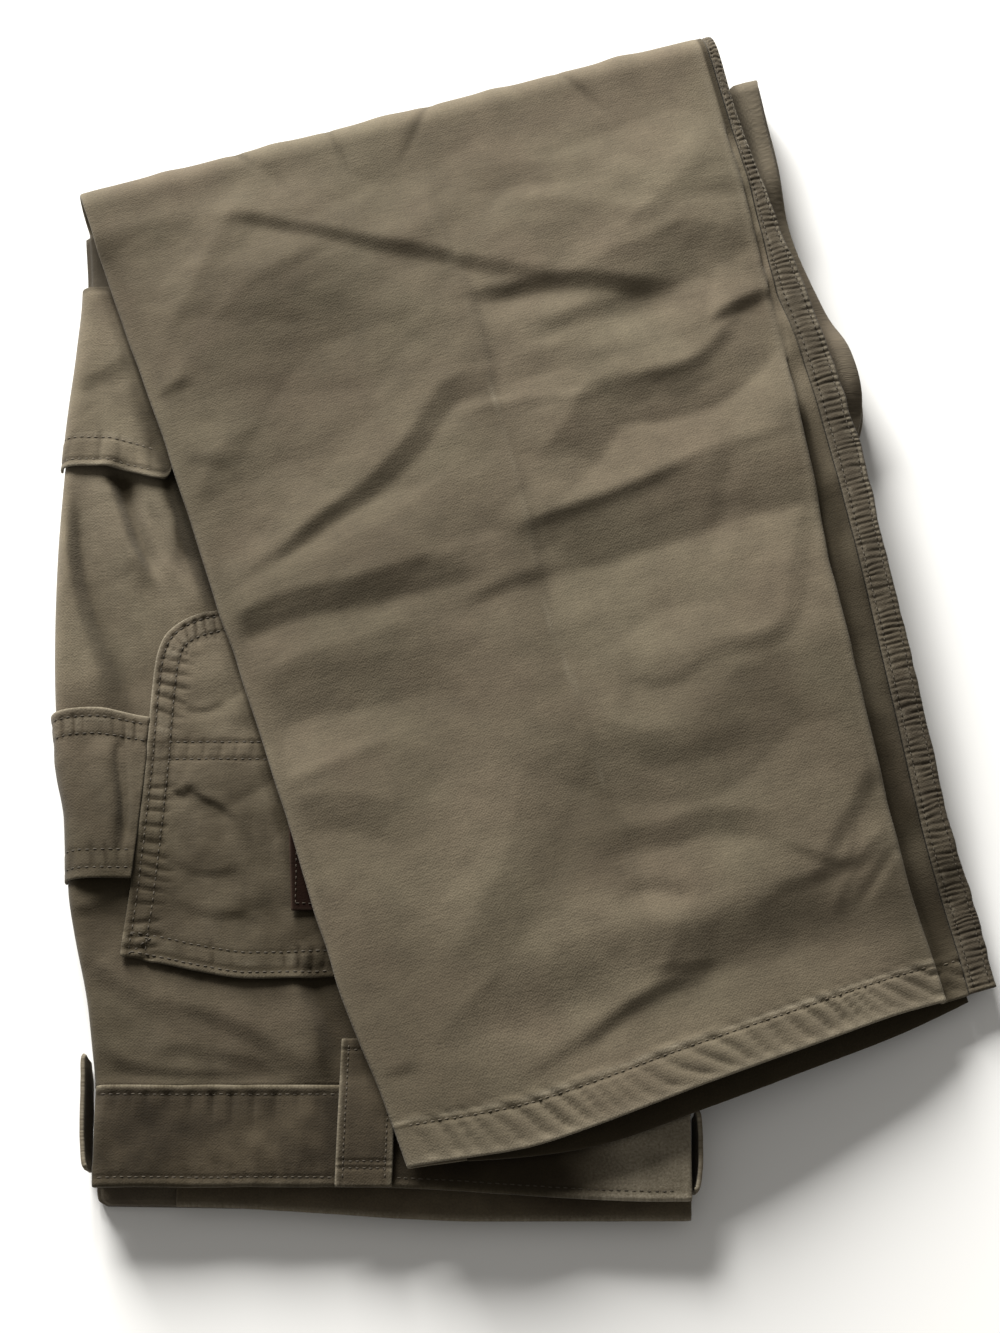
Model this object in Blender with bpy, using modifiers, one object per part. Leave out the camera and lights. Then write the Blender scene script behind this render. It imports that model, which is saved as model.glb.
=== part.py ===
"""Carpenter trousers of canvas, folded lengthwise and then over at the knee.

Lengths are in millimetres until the meshes are made. The body runs along Y with
the waist at -Y, and the top leg lies over it in its own tilted frame: `along`
runs from the hem to the knee fold and `across` from the left edge to the inseam.
"""
import math

import bpy

MM = 0.001
COLLECTION = "carpenter_pants"

WALL = 1.2
GAP = 0.4
SEAM_GAP = 0.75
BAND_WALL = 3.0
LOOP_WALL = 2.0
LABEL_WALL = 1.0

BODY_TOP = 15.1
WAIST_TOP = 14.4
LEDGE_TOP = 7.0
CURL_BOTTOM = 9.2
LAYER_GROOVE = 1.8

LEG_TILT = math.radians(16.0)
HEM_X = -38.0
HEM_Y = -225.0
LEG_REST = 25.0
FLAP_REACH = 25.0
UNDER_EDGE = 20.0
HEM_DEPTH = 17.0
HEM_BULK = 0.6
TUBE_ROOM = 2.9
EDGE_ROOM = 2.2
FOLD_ROOM = 0.8
LEAST_ROOM = 0.8
RIDGE_LIFT = 1.2
STRIP_WIDTH = 12.0
STRIP_BULK = 3.0
SHELF_BULK = 2.0 * WALL + 0.7

FOLD_TOP = LEG_REST + 2.0 * WALL + FOLD_ROOM
FOLD_MIDDLE = FOLD_TOP / 2.0
FOLD_REACH = 489.0
FOLD_AT = FOLD_REACH - FOLD_MIDDLE
FOLD_MEAN_RADIUS = 12.5
FOLD_ARC = math.pi * FOLD_MEAN_RADIUS
TUCK = 12.0
DROP = 15.6
DROP_RUN = 120.0
SIDE_RAMP = 62.0

WAIST_SEAM_Y = -189.0
TOP_POINTS = 9
NEARBY = (-12.0, 0.0, 12.0)

# along, left edge, ridge, outer edge
LEG_WIDTHS = (
    (0.0, -1.0, 241.0, 265.5),
    (29.0, -3.0, 241.5, 267.5),
    (75.0, -8.5, 242.5, 268.5),
    (140.0, -10.0, 249.0, 274.0),
    (203.0, -12.5, 255.0, 279.5),
    (262.0, -15.0, 260.0, 284.0),
    (318.0, -17.0, 265.0, 286.0),
    (371.0, -20.5, 270.0, 283.0),
    (430.0, -24.0, 273.0, 282.0),
    (480.0, -26.5, 275.0, 284.0),
    (530.0, -26.5, 275.0, 284.0),
)

# across, upper hem, lower hem
HEM_LINE = (
    (-30.0, 1.0, 2.0),
    (0.0, 0.0, 1.0),
    (46.0, -6.0, -8.0),
    (82.0, -5.0, -12.0),
    (128.0, -1.0, -9.0),
    (174.0, 3.0, -4.5),
    (219.0, 7.0, 0.5),
    (262.0, 9.0, 8.0),
    (290.0, 12.0, 12.0),
)

# along, height of the leg's left edge over the body, inset of the layers below it
LEFT_REST = (
    (-20.0, 22.4, 26.5),
    (55.0, 22.4, 26.5),
    (88.0, 21.1, 26.5),
    (175.0, 21.1, 26.5),
    (200.0, 19.8, 26.5),
    (260.0, 19.2, 26.5),
    (310.0, 19.4, 26.5),
    (325.0, 20.0, 26.5),
    (358.0, 20.0, 26.5),
    (380.0, 19.2, 26.5),
    (420.0, 19.2, 26.5),
    (444.0, 21.2, 26.5),
    (462.0, 25.0, 5.0),
    (530.0, 25.0, 3.5),
)

# across, height of the hem over the waistband, start of the layers below it
HEM_REST = (
    (-30.0, 22.4, 50.0),
    (30.0, 22.4, 50.0),
    (60.0, 20.6, 50.0),
    (118.0, 19.4, 50.0),
    (128.0, 19.0, 44.0),
    (138.0, 18.4, 4.0),
    (160.0, 18.0, 0.0),
    (219.0, 18.0, 5.0),
    (290.0, 18.0, 16.0),
)

# left x, left y, right x, right y, top
BODY_SECTIONS = (
    (-168.0, -237.0, 76.0, -241.0, 6.4),
    (-171.0, -235.0, 79.0, -239.0, LEDGE_TOP),
    (-172.0, -226.3, 80.0, -229.3, LEDGE_TOP),
    (-172.0, -226.0, 80.0, -229.0, WAIST_TOP),
    (-172.5, -206.0, 80.0, -212.0, WAIST_TOP),
    (-173.0, -188.0, 81.0, -196.0, WAIST_TOP),
    (-175.0, -172.0, 86.0, -160.0, BODY_TOP),
    (-178.5, -149.0, 92.0, -120.0, BODY_TOP),
    (-185.0, -121.0, 102.0, -80.0, BODY_TOP),
    (-188.5, -102.0, 112.0, -45.0, BODY_TOP),
    (-190.5, -66.0, 123.0, -10.0, BODY_TOP),
    (-195.0, -40.0, 134.0, 20.0, BODY_TOP),
    (-198.0, -18.0, 145.0, 50.0, BODY_TOP),
    (-200.0, 16.0, 157.0, 82.0, BODY_TOP),
    (-200.5, 56.0, 164.5, 110.0, BODY_TOP),
    (-199.5, 94.0, 168.5, 130.0, BODY_TOP),
    (-197.5, 130.0, 163.5, 155.0, BODY_TOP),
    (-195.5, 155.0, 151.0, 182.0, BODY_TOP),
    (-194.0, 180.0, 139.0, 217.0, BODY_TOP),
    (-193.5, 197.0, 132.5, 256.0, BODY_TOP),
    (-193.5, 209.0, 125.0, 298.0, BODY_TOP),
)

# start x, start y, bend x, bend y, end x, end y, lift, half width
LEG_FOLDS = {
    "long_dent": (-137.0, 222.0, -19.0, 199.0, 77.0, 179.0, -2.0, 9.0),
    "long_lip": (-105.0, 236.0, 5.0, 214.0, 60.0, 206.0, 1.1, 14.0),
    "right_dent": (46.0, 188.0, 80.0, 208.0, 118.0, 212.0, -1.7, 14.0),
    "edge_dent": (124.0, 180.0, 111.0, 176.0, 94.0, 160.0, -1.2, 8.0),
    "corner_rise": (-129.0, 251.0, -151.0, 223.0, -165.0, 186.0, 1.0, 14.0),
    "upper_dent": (36.0, 113.0, 70.0, 131.0, 126.0, 153.0, -1.7, 10.0),
    "upper_lip": (20.0, 136.0, 62.0, 150.0, 112.0, 170.0, 1.2, 12.0),
    "cross_dent": (9.0, 62.0, 70.0, 83.0, 134.0, 112.0, -2.2, 9.0),
    "cross_rise": (13.0, 78.0, 70.0, 97.0, 128.0, 124.0, 1.7, 11.0),
    "slant_dent": (-7.0, 129.0, -40.0, 104.0, -94.0, 54.0, -1.7, 11.0),
    "slant_rise": (-4.0, 114.0, -45.0, 80.0, -112.0, 34.0, 1.3, 12.0),
    "main_dent": (-118.0, 17.0, -60.0, 37.0, -2.0, 55.0, -2.3, 8.0),
    "main_rise": (-116.0, 29.0, -60.0, 50.0, -11.0, 65.0, 1.8, 11.0),
    "small_dent": (-13.0, 30.0, 9.0, 40.0, 36.0, 49.0, -1.4, 8.0),
    "mid_rise": (-9.0, 6.0, 18.0, 19.0, 60.0, 31.0, 1.1, 14.0),
    "left_rise": (-108.0, -8.0, -80.0, 4.0, -44.0, 16.0, 0.9, 14.0),
    "left_dent": (-98.0, -33.0, -70.0, -20.0, -30.0, -8.0, -1.2, 16.0),
    "left_swell": (-84.0, -66.0, -66.0, -52.0, -40.0, -38.0, 1.1, 13.0),
    "side_dent": (84.0, 1.0, 108.0, 5.0, 134.0, 20.0, -1.2, 12.0),
    "broad_dent": (56.0, -45.0, 87.0, -41.0, 118.0, -36.0, -1.3, 12.0),
    "broad_rise": (56.0, -62.0, 87.0, -59.0, 124.0, -56.0, 1.0, 10.0),
    "low_dent": (54.0, -80.0, 87.0, -76.0, 126.0, -76.0, -1.6, 9.0),
    "low_rise": (60.0, -95.0, 95.0, -90.0, 125.0, -90.0, 1.1, 9.0),
    "long_rise": (27.0, -18.0, 18.0, -62.0, -8.0, -132.0, 1.3, 17.0),
    "hem_dent": (19.0, -181.0, 51.0, -157.0, 85.0, -133.0, -1.5, 10.0),
    "hem_rise": (13.0, -158.0, 39.0, -126.0, 60.0, -104.0, 1.3, 12.0),
    "star_dent": (150.0, -93.0, 157.0, -75.0, 166.0, -54.0, -1.1, 8.0),
    "star_arm": (150.0, -93.0, 132.0, -102.0, 112.0, -114.0, -1.1, 8.0),
}

# y, pocket's left edge
POCKET_SIDE = (
    (-142.0, -163.5),
    (-132.0, -163.0),
    (-102.0, -160.0),
    (-47.0, -156.0),
    (-5.0, -154.0),
    (10.0, -151.5),
    (18.0, -147.0),
    (24.0, -138.0),
    (28.0, -124.0),
)

# x, y of the pocket mouth, lift of its edge
POCKET_MOUTH = (
    (-164.0, -132.0, 0.0),
    (-147.0, -135.0, 0.5),
    (-129.0, -139.0, 1.1),
    (-108.0, -142.0, 1.3),
    (-60.0, -140.0, 0.2),
)

# x, y of the tool pocket's mouth
TOOL_MOUTH = (
    (-202.0, 98.5),
    (-169.0, 96.5),
    (-130.0, 89.0),
)

# inset from the outline, height as a share of the side
LAYERED_SIDE = (
    (2.4, 0.0),
    (0.3, 0.09),
    (0.3, 0.24),
    (1.8, 0.33),
    (0.3, 0.42),
    (0.3, 0.57),
    (1.8, 0.66),
    (0.3, 0.76),
    (0.8, 0.91),
    (2.8, 1.0),
)

# inset from the outline, height of the cloth that curls over the body's left side
CURL = (
    (0.3, CURL_BOTTOM),
    (0.3, 12.4),
    (1.3, 14.9),
    (3.6, 16.3),
    (8.0, BODY_TOP + GAP + WALL),
)

BODY_SIDE_UNDER_CURL = (
    (2.4, 0.0),
    (0.4, 1.2),
    (0.4, 3.3),
    (1.8, 4.4),
    (0.4, 5.6),
    (0.4, 7.6),
    (2.1, 8.8),
    (2.1, 12.0),
    (3.2, 13.9),
    (5.0, 14.7),
    (8.4, BODY_TOP),
)

COLOURS = {
    "canvas": (0.118, 0.092, 0.061, 1.0),
    "band": (0.098, 0.078, 0.053, 1.0),
    "seam": (0.128, 0.101, 0.069, 1.0),
    "layers": (0.082, 0.066, 0.047, 1.0),
    "leather": (0.075, 0.024, 0.018, 1.0),
}


def smooth(value):
    """Ease from 0 to 1 as value runs from 0 to 1."""
    value = min(1.0, max(0.0, value))
    return value * value * (3.0 - 2.0 * value)


def look_up(rows, at, column=1):
    """Read a column of a table at a place between its rows, with a smooth run."""
    if at <= rows[0][0]:
        return rows[0][column]
    if at >= rows[-1][0]:
        return rows[-1][column]
    index = max(i for i, row in enumerate(rows) if row[0] <= at)
    low, high = rows[index], rows[index + 1]
    before = rows[max(index - 1, 0)]
    after = rows[min(index + 2, len(rows) - 1)]
    span = high[0] - low[0]
    share = (at - low[0]) / span
    slope_low = (high[column] - before[column]) / (high[0] - before[0]) * span
    slope_high = (after[column] - low[column]) / (after[0] - low[0]) * span
    bend = share * (1.0 - share)
    straight = low[column] + (high[column] - low[column]) * smooth(share)
    return straight + bend * ((1.0 - share) * slope_low - share * slope_high)


def between(start, end, count):
    """Even steps from start to end, both included."""
    return [start + (end - start) * i / (count - 1) for i in range(count)]


def leg_to_body(along, across):
    """Place a point of the leg's frame in the body's frame."""
    x = HEM_X + across * math.cos(LEG_TILT) - along * math.sin(LEG_TILT)
    y = HEM_Y + across * math.sin(LEG_TILT) + along * math.cos(LEG_TILT)
    return x, y


def over_fold(along, across, height):
    """Carry a point of the flat leg round the knee fold and under the stack."""
    past = along - FOLD_AT
    if past > 0.0:
        turn = min(past / FOLD_MEAN_RADIUS, math.pi)
        under = max(0.0, past - FOLD_ARC)
        reach = height - FOLD_MIDDLE
        along = FOLD_AT + reach * math.sin(turn) - under
        height = FOLD_MIDDLE + reach * math.cos(turn)
    x, y = leg_to_body(along, across)
    return x, y, height


def leg_edge_x(y):
    """Find where the top leg's left edge crosses a line of the body."""
    along = 0.0
    for _ in range(5):
        rise = look_up(LEG_WIDTHS, along) * math.sin(LEG_TILT)
        along = (y - HEM_Y - rise) / math.cos(LEG_TILT)
    return leg_to_body(along, look_up(LEG_WIDTHS, along))[0]


def body_left(y):
    """Left outline of the body at a height in the picture plane."""
    rows = [(row[1], row[0]) for row in BODY_SECTIONS]
    return look_up(rows, y)


def body_right(y):
    """Right outline of the body, most of it under the leg."""
    rows = [(row[3], row[2]) for row in BODY_SECTIONS]
    return look_up(rows, y)


def fold_lift(fold, x, y):
    """Lift of one fold at a point: a soft ridge or trough along a bent line."""
    ax, ay, bx, by, cx, cy, lift, half = fold
    best = 0.0
    for (px, py), (qx, qy) in (((ax, ay), (bx, by)), ((bx, by), (cx, cy))):
        dx, dy = qx - px, qy - py
        length = math.hypot(dx, dy)
        share = ((x - px) * dx + (y - py) * dy) / length ** 2
        share = min(1.0, max(0.0, share))
        far = math.hypot(x - px - share * dx, y - py - share * dy)
        best = max(best, math.exp(-(far / half) ** 2))
    return lift * best


def leg_relief(along, across):
    """All folds of the top leg together, fading towards its edges."""
    x, y = leg_to_body(along, across)
    lift = sum(fold_lift(fold, x, y) for fold in LEG_FOLDS.values())
    left = look_up(LEG_WIDTHS, along)
    ridge = look_up(LEG_WIDTHS, along, 2)
    fade = smooth((across - left) / 16.0)
    fade *= smooth((ridge + 6.0 - across) / 16.0)
    fade *= smooth((FOLD_AT - 8.0 - along) / 20.0)
    return max(-2.3, min(2.6, lift)) * fade


def leg_underside(along, across):
    """Height of the leg's lower face over everything that it lies on."""
    x, y = leg_to_body(along, across)
    left = look_up(LEG_WIDTHS, along)
    side = 1.0 - smooth((across - left - 20.0) / SIDE_RAMP)
    height = LEG_REST - side * (LEG_REST - look_up(LEFT_REST, along))
    hem = 1.0 - smooth((along - 42.0) / 34.0)
    rest = look_up(HEM_REST, across)
    height = min(height, LEG_REST - hem * (LEG_REST - rest))
    over = smooth((x - body_right(y) - 4.0) / DROP_RUN)
    height -= over * DROP * height / LEG_REST
    return height


def tube_room(along, across):
    """Room between the leg's two walls."""
    left = look_up(LEG_WIDTHS, along)
    ridge = look_up(LEG_WIDTHS, along, 2)
    room = EDGE_ROOM + (TUBE_ROOM - EDGE_ROOM) * smooth((across - left) / 30.0)
    roll = RIDGE_LIFT * smooth((across - ridge + 26.0) / 22.0)
    roll *= smooth((along - 10.0) / 50.0) * smooth((400.0 - along) / 80.0)
    far = smooth((along - FOLD_AT + 60.0) / 52.0)
    return (room + roll) * (1.0 - far) + FOLD_ROOM * far


def hem_bulk(distance):
    """Extra height of the doubled cloth along the hem."""
    return HEM_BULK * (1.0 - smooth((distance - HEM_DEPTH) / 1.6))


def strip_width(along):
    """Width of the felled seam that shows beside the ridge."""
    ridge = look_up(LEG_WIDTHS, along, 2)
    outer = look_up(LEG_WIDTHS, along, 3)
    return min(STRIP_WIDTH, outer - ridge - 4.4)


def tube_stations(step):
    """Distances from the hem at which the leg's walls have a row."""
    count = round((FOLD_AT - 30.0) / step) + 1
    rows = [0.0, HEM_DEPTH - 0.5, HEM_DEPTH + 1.8]
    rows += between(HEM_DEPTH + 13.0, FOLD_AT, count)
    rows += between(FOLD_AT, FOLD_AT + FOLD_ARC, 7)[1:]
    return rows + [FOLD_AT + FOLD_ARC + TUCK]


def station_along(distance, across, column):
    """Turn a distance from the hem into a place along the leg."""
    share = 1.0 - smooth(distance / 70.0)
    return distance + look_up(HEM_LINE, across, column) * share


def back_profile(distance, columns):
    """Outer face of the leg's back panel across one row, from flap to shelf."""
    along = station_along(distance, 0.0, 1)
    left = look_up(LEG_WIDTHS, along)
    bulk = hem_bulk(distance)
    profile = []
    for reach in (FLAP_REACH, 15.0, 6.0):
        height = leg_underside(along, left + reach) - bulk * 0.3
        profile.append((left + reach, height))
    depth = 2.0 * WALL + tube_room(along, left) + bulk * 1.3
    half = depth / 2.0
    low = leg_underside(along, left + half) - bulk * 0.3
    for angle in (-60.0, -20.0, 20.0, 60.0):
        turn = math.radians(angle)
        profile.append((left + half - half * math.cos(turn), low + half + half * math.sin(turn)))
    ridge = look_up(LEG_WIDTHS, along, 2)
    for across in between(left + half + 1.5, ridge - 4.5, columns):
        here = station_along(distance, across, 1)
        room = tube_room(here, across)
        lift = max(leg_relief(here, across), LEAST_ROOM - room)
        height = leg_underside(here, across) + 2.0 * WALL + room
        profile.append((across, height + lift + bulk))
    profile += ridge_profile(distance, profile[-1][1], bulk)
    return profile


def ridge_profile(distance, top, bulk):
    """The rolled step beside the inseam, down to the shelf that meets the seam."""
    along = station_along(distance, 250.0, 1)
    ridge = look_up(LEG_WIDTHS, along, 2)
    outer = look_up(LEG_WIDTHS, along, 3)
    end = outer - strip_width(along) - SEAM_GAP
    step = top - leg_underside(along, ridge - 4.5) - SHELF_BULK - bulk
    foot = ridge + 2.6
    profile = []
    for across, share in ((ridge - 1.6, 0.93), (ridge + 0.2, 0.58), (ridge + 1.0, 0.25),
                          (foot, 0.0), ((foot + end) / 2.0, 0.0), (end, 0.0)):
        shelf = leg_underside(along, across) + SHELF_BULK + bulk
        profile.append((across, shelf + share * step))
    return profile


def metres(point):
    """Scale a point from millimetres."""
    return tuple(value * MM for value in point)


def make_object(name, points, faces, material):
    """Make a mesh object and put it in the collection."""
    mesh = bpy.data.meshes.new(name)
    mesh.from_pydata([metres(point) for point in points], [], faces)
    mesh.validate()
    thing = bpy.data.objects.new(name, mesh)
    bpy.data.collections[COLLECTION].objects.link(thing)
    thing.data.materials.append(make_material(name, material))
    return thing


def make_material(name, colour):
    """One cloth or leather material for one piece."""
    material = bpy.data.materials.new(name + "_material")
    material.use_nodes = True
    shader = material.node_tree.nodes["Principled BSDF"]
    shader.inputs["Base Color"].default_value = COLOURS[colour]
    shader.inputs["Roughness"].default_value = 0.62 if colour == "leather" else 0.9
    shader.inputs["Metallic"].default_value = 0.0
    return material


def grid_faces(rows, columns, flip=False):
    """Quads of a grid, facing up where rows run to +Y and columns to +X."""
    faces = []
    for i in range(rows - 1):
        for j in range(columns - 1):
            a = i * columns + j
            quad = (a, a + 1, a + columns + 1, a + columns)
            faces.append(quad[::-1] if flip else quad)
    return faces


def cloth(name, grid, material, wall=WALL, flip=False):
    """A piece of cloth: the outer face as a grid, with its wall behind it."""
    points = [point for row in grid for point in row]
    faces = grid_faces(len(grid), len(grid[0]), flip)
    thing = make_object(name, points, faces, material)
    solid = thing.modifiers.new("wall", "SOLIDIFY")
    solid.thickness = wall * MM
    solid.offset = -1.0
    solid.use_even_offset = True
    return thing


def loft(name, loops, material):
    """A closed body through rings of equal length, with flat ends."""
    size = len(loops[0])
    points = [point for loop in loops for point in loop]
    faces = []
    for i in range(len(loops) - 1):
        for j in range(size):
            a = i * size + j
            b = i * size + (j + 1) % size
            faces.append((a, b, b + size, a + size))
    first, last = end_faces(size)
    faces += [face[::-1] for face in first]
    start = len(points) - size
    faces += [tuple(start + i for i in face) for face in last]
    thing = make_object(name, points, faces, material)
    thing.modifiers.new("triangles", "TRIANGULATE")
    return thing


def end_faces(size):
    """Faces that close a ring: one flat face for each end."""
    if size < 2 * len(LAYERED_SIDE) + 2 * TOP_POINTS:
        return [tuple(range(size))], [tuple(range(size))]
    side = len(LAYERED_SIDE)
    faces = []
    far = size - 1
    faces += [(far, i, i + 1) for i in range(side)]
    for i in range(TOP_POINTS - 1):
        faces.append((far - i, side + i, side + i + 1, far - i - 1))
    near = size - TOP_POINTS
    start = side + TOP_POINTS - 1
    faces += [(near, start + i, start + i + 1) for i in range(side)]
    return faces, faces


def body_section(row):
    """Ring round the lower layers: left side, top, right side, bottom."""
    left_x, left_y, right_x, right_y, top = row
    scale = top / BODY_TOP

    def place(x, z):
        share = (x - left_x) / (right_x - left_x)
        return x, left_y + (right_y - left_y) * share, z

    ring = [place(left_x + inset, height * scale) for inset, height in BODY_SIDE_UNDER_CURL]
    ring += [place(x, top) for x in between(left_x + 24.0, right_x - 12.0, 7)]
    side = [place(right_x - inset, share * top) for inset, share in LAYERED_SIDE]
    ring += side[::-1]
    ring += [place(x, 0.0) for x in between(right_x - 60.0, left_x + 60.0, 3)]
    return ring


def hidden_profile(along, top_of, floor, left, right):
    """Ring round the layers inside the folded leg at one place along it."""
    left_top = top_of(left + 2.8)
    right_top = top_of(right - 2.8)
    ring = []
    for inset, share in LAYERED_SIDE:
        ring.append((left + inset, floor + share * (left_top - floor)))
    middle = between(left + 12.0, right - 12.0, TOP_POINTS)
    ring += [(across, top_of(across)) for across in middle]
    for inset, share in reversed(LAYERED_SIDE):
        ring.append((right - inset, floor + share * (right_top - floor)))
    ring += [(across, floor) for across in reversed(middle)]
    return ring


def folded_leg_rings():
    """Rings of the layers inside the folded leg, from its hem to the knee fold."""
    recess = FOLD_AT - TUCK - 1.0
    loops = []
    stations = [0.0, 14.0] + between(32.0, recess - 0.3, 20) + [recess, FOLD_AT - 5.0]
    for distance in stations:
        share = 1.0 - smooth(distance / 110.0)
        floor = SHELF_BULK + FOLD_ROOM if distance >= recess else 0.0
        left = look_up(LEG_WIDTHS, distance) + look_up(LEFT_REST, distance, 2)
        right = look_up(LEG_WIDTHS, distance, 3) - 5.0

        def along_at(across):
            start = look_up(HEM_REST, across, 2)
            return distance + start * share

        def top_of(across):
            here = along_at(across)
            nearby = [leg_underside(here + i, across + j) for i in NEARBY for j in NEARBY]
            return min(nearby) - GAP - 0.1

        ring = hidden_profile(distance, top_of, floor, left, right)
        loops.append([leg_to_body(along_at(t), t) + (z,) for t, z in ring])
    return loops + knee_rings()


def knee_rings():
    """Rings of the rounded end inside the knee fold."""
    reach = LEG_REST - GAP - FOLD_MIDDLE
    left = look_up(LEG_WIDTHS, FOLD_AT) + 3.5
    right = look_up(LEG_WIDTHS, FOLD_AT, 3) - 5.0
    loops = []
    for angle in (0.0, 28.0, 52.0, 74.0):
        turn = math.radians(angle)
        along = FOLD_AT + reach * math.sin(turn)
        rise = reach * math.cos(turn)
        ring = hidden_profile(along, lambda t: FOLD_MIDDLE + rise, FOLD_MIDDLE - rise, left, right)
        loops.append([leg_to_body(along, t) + (z,) for t, z in ring])
    return loops


def make_folded_layers():
    """The hidden layers as one body: the folded body and the folded second leg."""
    body = loft("folded_layers", [body_section(row) for row in BODY_SECTIONS], "layers")
    leg = loft("folded_leg", folded_leg_rings(), "layers")
    bpy.data.collections[COLLECTION].objects.unlink(leg)
    bpy.data.collections["cutters"].objects.link(leg)
    leg.hide_render = True
    leg.display_type = "WIRE"
    join = body.modifiers.new("join", "BOOLEAN")
    join.operation = "UNION"
    join.solver = "EXACT"
    join.object = leg


def body_rows(low, high):
    """Lines across the body between two heights, at the body's own sections."""
    rows = [row[1] for row in BODY_SECTIONS if low + 3.0 < row[1] < high - 3.0]
    return [low] + rows + [high]


def curled_row(y, rise, end, columns):
    """A line of cloth on the body, from the curl at its left side to an end."""
    left = body_left(y)
    row = [(left + inset - rise, y, height if i == 0 else height + rise * i / 4.0)
           for i, (inset, height) in enumerate(CURL)]
    flat = between(left + CURL[-1][0], end, columns)[1:]
    return row + [(x, y, CURL[-1][1] + rise) for x in flat]


def make_seat_panel():
    """Back panel from the waist seam to the knee fold, curled over the left side."""
    grid = []
    for y in body_rows(WAIST_SEAM_Y + 0.4, 202.0):
        grid.append(curled_row(y, 0.0, leg_edge_x(y) + UNDER_EDGE + 2.0, 6))
    cloth("seat_panel", grid, "canvas")


def make_back_pocket():
    """Patch pocket whose mouth faces the waist, with a rounded corner."""
    top = CURL[-1][1] + GAP + WALL
    bottom_y = 28.0
    grid = []
    for share in (0.0, 0.12, 0.14, 0.3, 0.46, 0.62, 0.76, 0.86, 0.92, 0.965, 1.0):
        row = []
        for column in between(0.0, 1.0, 8):
            y_guess = -137.0 + (bottom_y + 137.0) * share
            left = look_up(POCKET_SIDE, y_guess)
            x = left + (leg_edge_x(y_guess) + UNDER_EDGE - left) * column
            mouth = look_up(POCKET_MOUTH, x)
            y = mouth + (bottom_y - mouth) * share
            lift = look_up(POCKET_MOUTH, x, 2) * (1.0 - smooth(share / 0.3))
            lift += HEM_BULK if share < 0.13 else 0.0
            row.append((x, y, top + lift))
        grid.append(row)
    cloth("back_pocket", grid, "canvas")


def make_pocket_label():
    """Plain leather patch near the pocket mouth, mostly under the leg."""
    top = CURL[-1][1] + 2.0 * GAP + WALL + LABEL_WALL + 0.7
    grid = []
    for y in between(-112.0, -62.0, 4):
        grid.append([(x, y, top) for x in between(-91.0, leg_edge_x(y) + UNDER_EDGE - 1.0, 3)])
    cloth("pocket_label", grid, "leather", LABEL_WALL)


def make_hammer_loop():
    """Wide strap from the side seam to the back pocket, open at its lower edge."""
    rise = GAP + WALL
    grid = []
    for y in (-97.5, -84.0, -82.0, -66.0, -50.0, -36.0, -22.5):
        lift = 0.9 * smooth((-70.0 - y) / 28.0) + 0.25
        row = curled_row(y, rise, look_up(POCKET_SIDE, y) - 0.6, 5)
        row = [(x, here, z + lift * smooth((x + 195.0) / 15.0)) for x, here, z in row]
        grid.append(row)
    cloth("hammer_loop", grid, "canvas")


def make_tool_pocket():
    """Side pocket on the thigh with a doubled mouth hem that faces the waist."""
    rise = GAP + WALL
    grid = []
    for y in (97.0, 111.5, 113.5, 130.0, 155.0, 178.0, 199.0):
        row = curled_row(y, rise, leg_edge_x(y) + UNDER_EDGE, 5)
        shift = 1.0 - smooth((y - 97.0) / 40.0)
        bulk = 0.8 if y < 112.0 else 0.25
        grid.append([(x, here + shift * (look_up(TOOL_MOUTH, x) - 97.0),
                      z + bulk * smooth((x + 199.0) / 12.0)) for x, here, z in row])
    cloth("tool_pocket", grid, "canvas")


def waist_edge(x):
    """Outer edge of the waistband."""
    return -231.0 - 6.0 * smooth((x + 60.0) / 130.0)


def make_waistband():
    """Doubled band along the waist."""
    top = WAIST_TOP + GAP + BAND_WALL
    grid = []
    for share in between(0.0, 1.0, 5):
        grid.append([(x, waist_edge(x) + share * (WAIST_SEAM_Y - waist_edge(x)), top)
                     for x in between(-171.0, 80.0, 15)])
    band = cloth("waistband", grid, "band", BAND_WALL)
    round_edges(band, 0.8)


def make_front_waistband():
    """Edge of the band on the layers below, a little further out."""
    top = LEDGE_TOP + GAP + BAND_WALL
    grid = []
    for share in (0.0, 1.0):
        row = []
        for x in between(-136.0, 80.0, 12):
            inner = -226.7 - 3.0 * (x + 171.0) / 252.0
            outer = -238.0 - 6.0 * smooth((x + 136.0) / 130.0)
            row.append((x, outer + share * (inner - outer), top))
        grid.append(row)
    band = cloth("front_waistband", grid, "band", BAND_WALL)
    round_edges(band, 0.8)


def round_edges(thing, width):
    """Round the rim of a thick band."""
    bevel = thing.modifiers.new("rim", "BEVEL")
    bevel.width = width * MM
    bevel.segments = 1
    bevel.limit_method = "ANGLE"
    bevel.angle_limit = math.radians(40.0)


def make_back_belt_loop():
    """Strap loop that lies flat over the waistband."""
    seat = CURL[-1][1] + GAP + LOOP_WALL
    band = WAIST_TOP + 2.0 * GAP + BAND_WALL + LOOP_WALL
    grid = []
    for y, height in ((-231.5, band), (-226.0, band), (-208.0, band + 0.7),
                      (-190.0, band), (-184.0, seat + 0.2), (-169.0, seat)):
        grid.append([(x + (y + 200.0) * 0.03, y, height) for x in between(-68.0, -45.0, 4)])
    cloth("back_belt_loop", grid, "band", LOOP_WALL)


def make_edge_loop(name, outline, side, y_low, y_high, bow):
    """Strap loop seen edge-on, bowed out from a folded end of the waistband."""
    grid = []
    for share in between(0.0, 1.0, 8):
        y = y_low + (y_high - y_low) * share
        out = outline(y) + side * (LOOP_WALL + 0.4 + bow * math.sin(math.pi * share) ** 0.7)
        grid.append([(out, y, z) for z in between(2.0, WAIST_TOP + 1.5, 4)])
    cloth(name, grid, "band", LOOP_WALL, side > 0.0)


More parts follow.
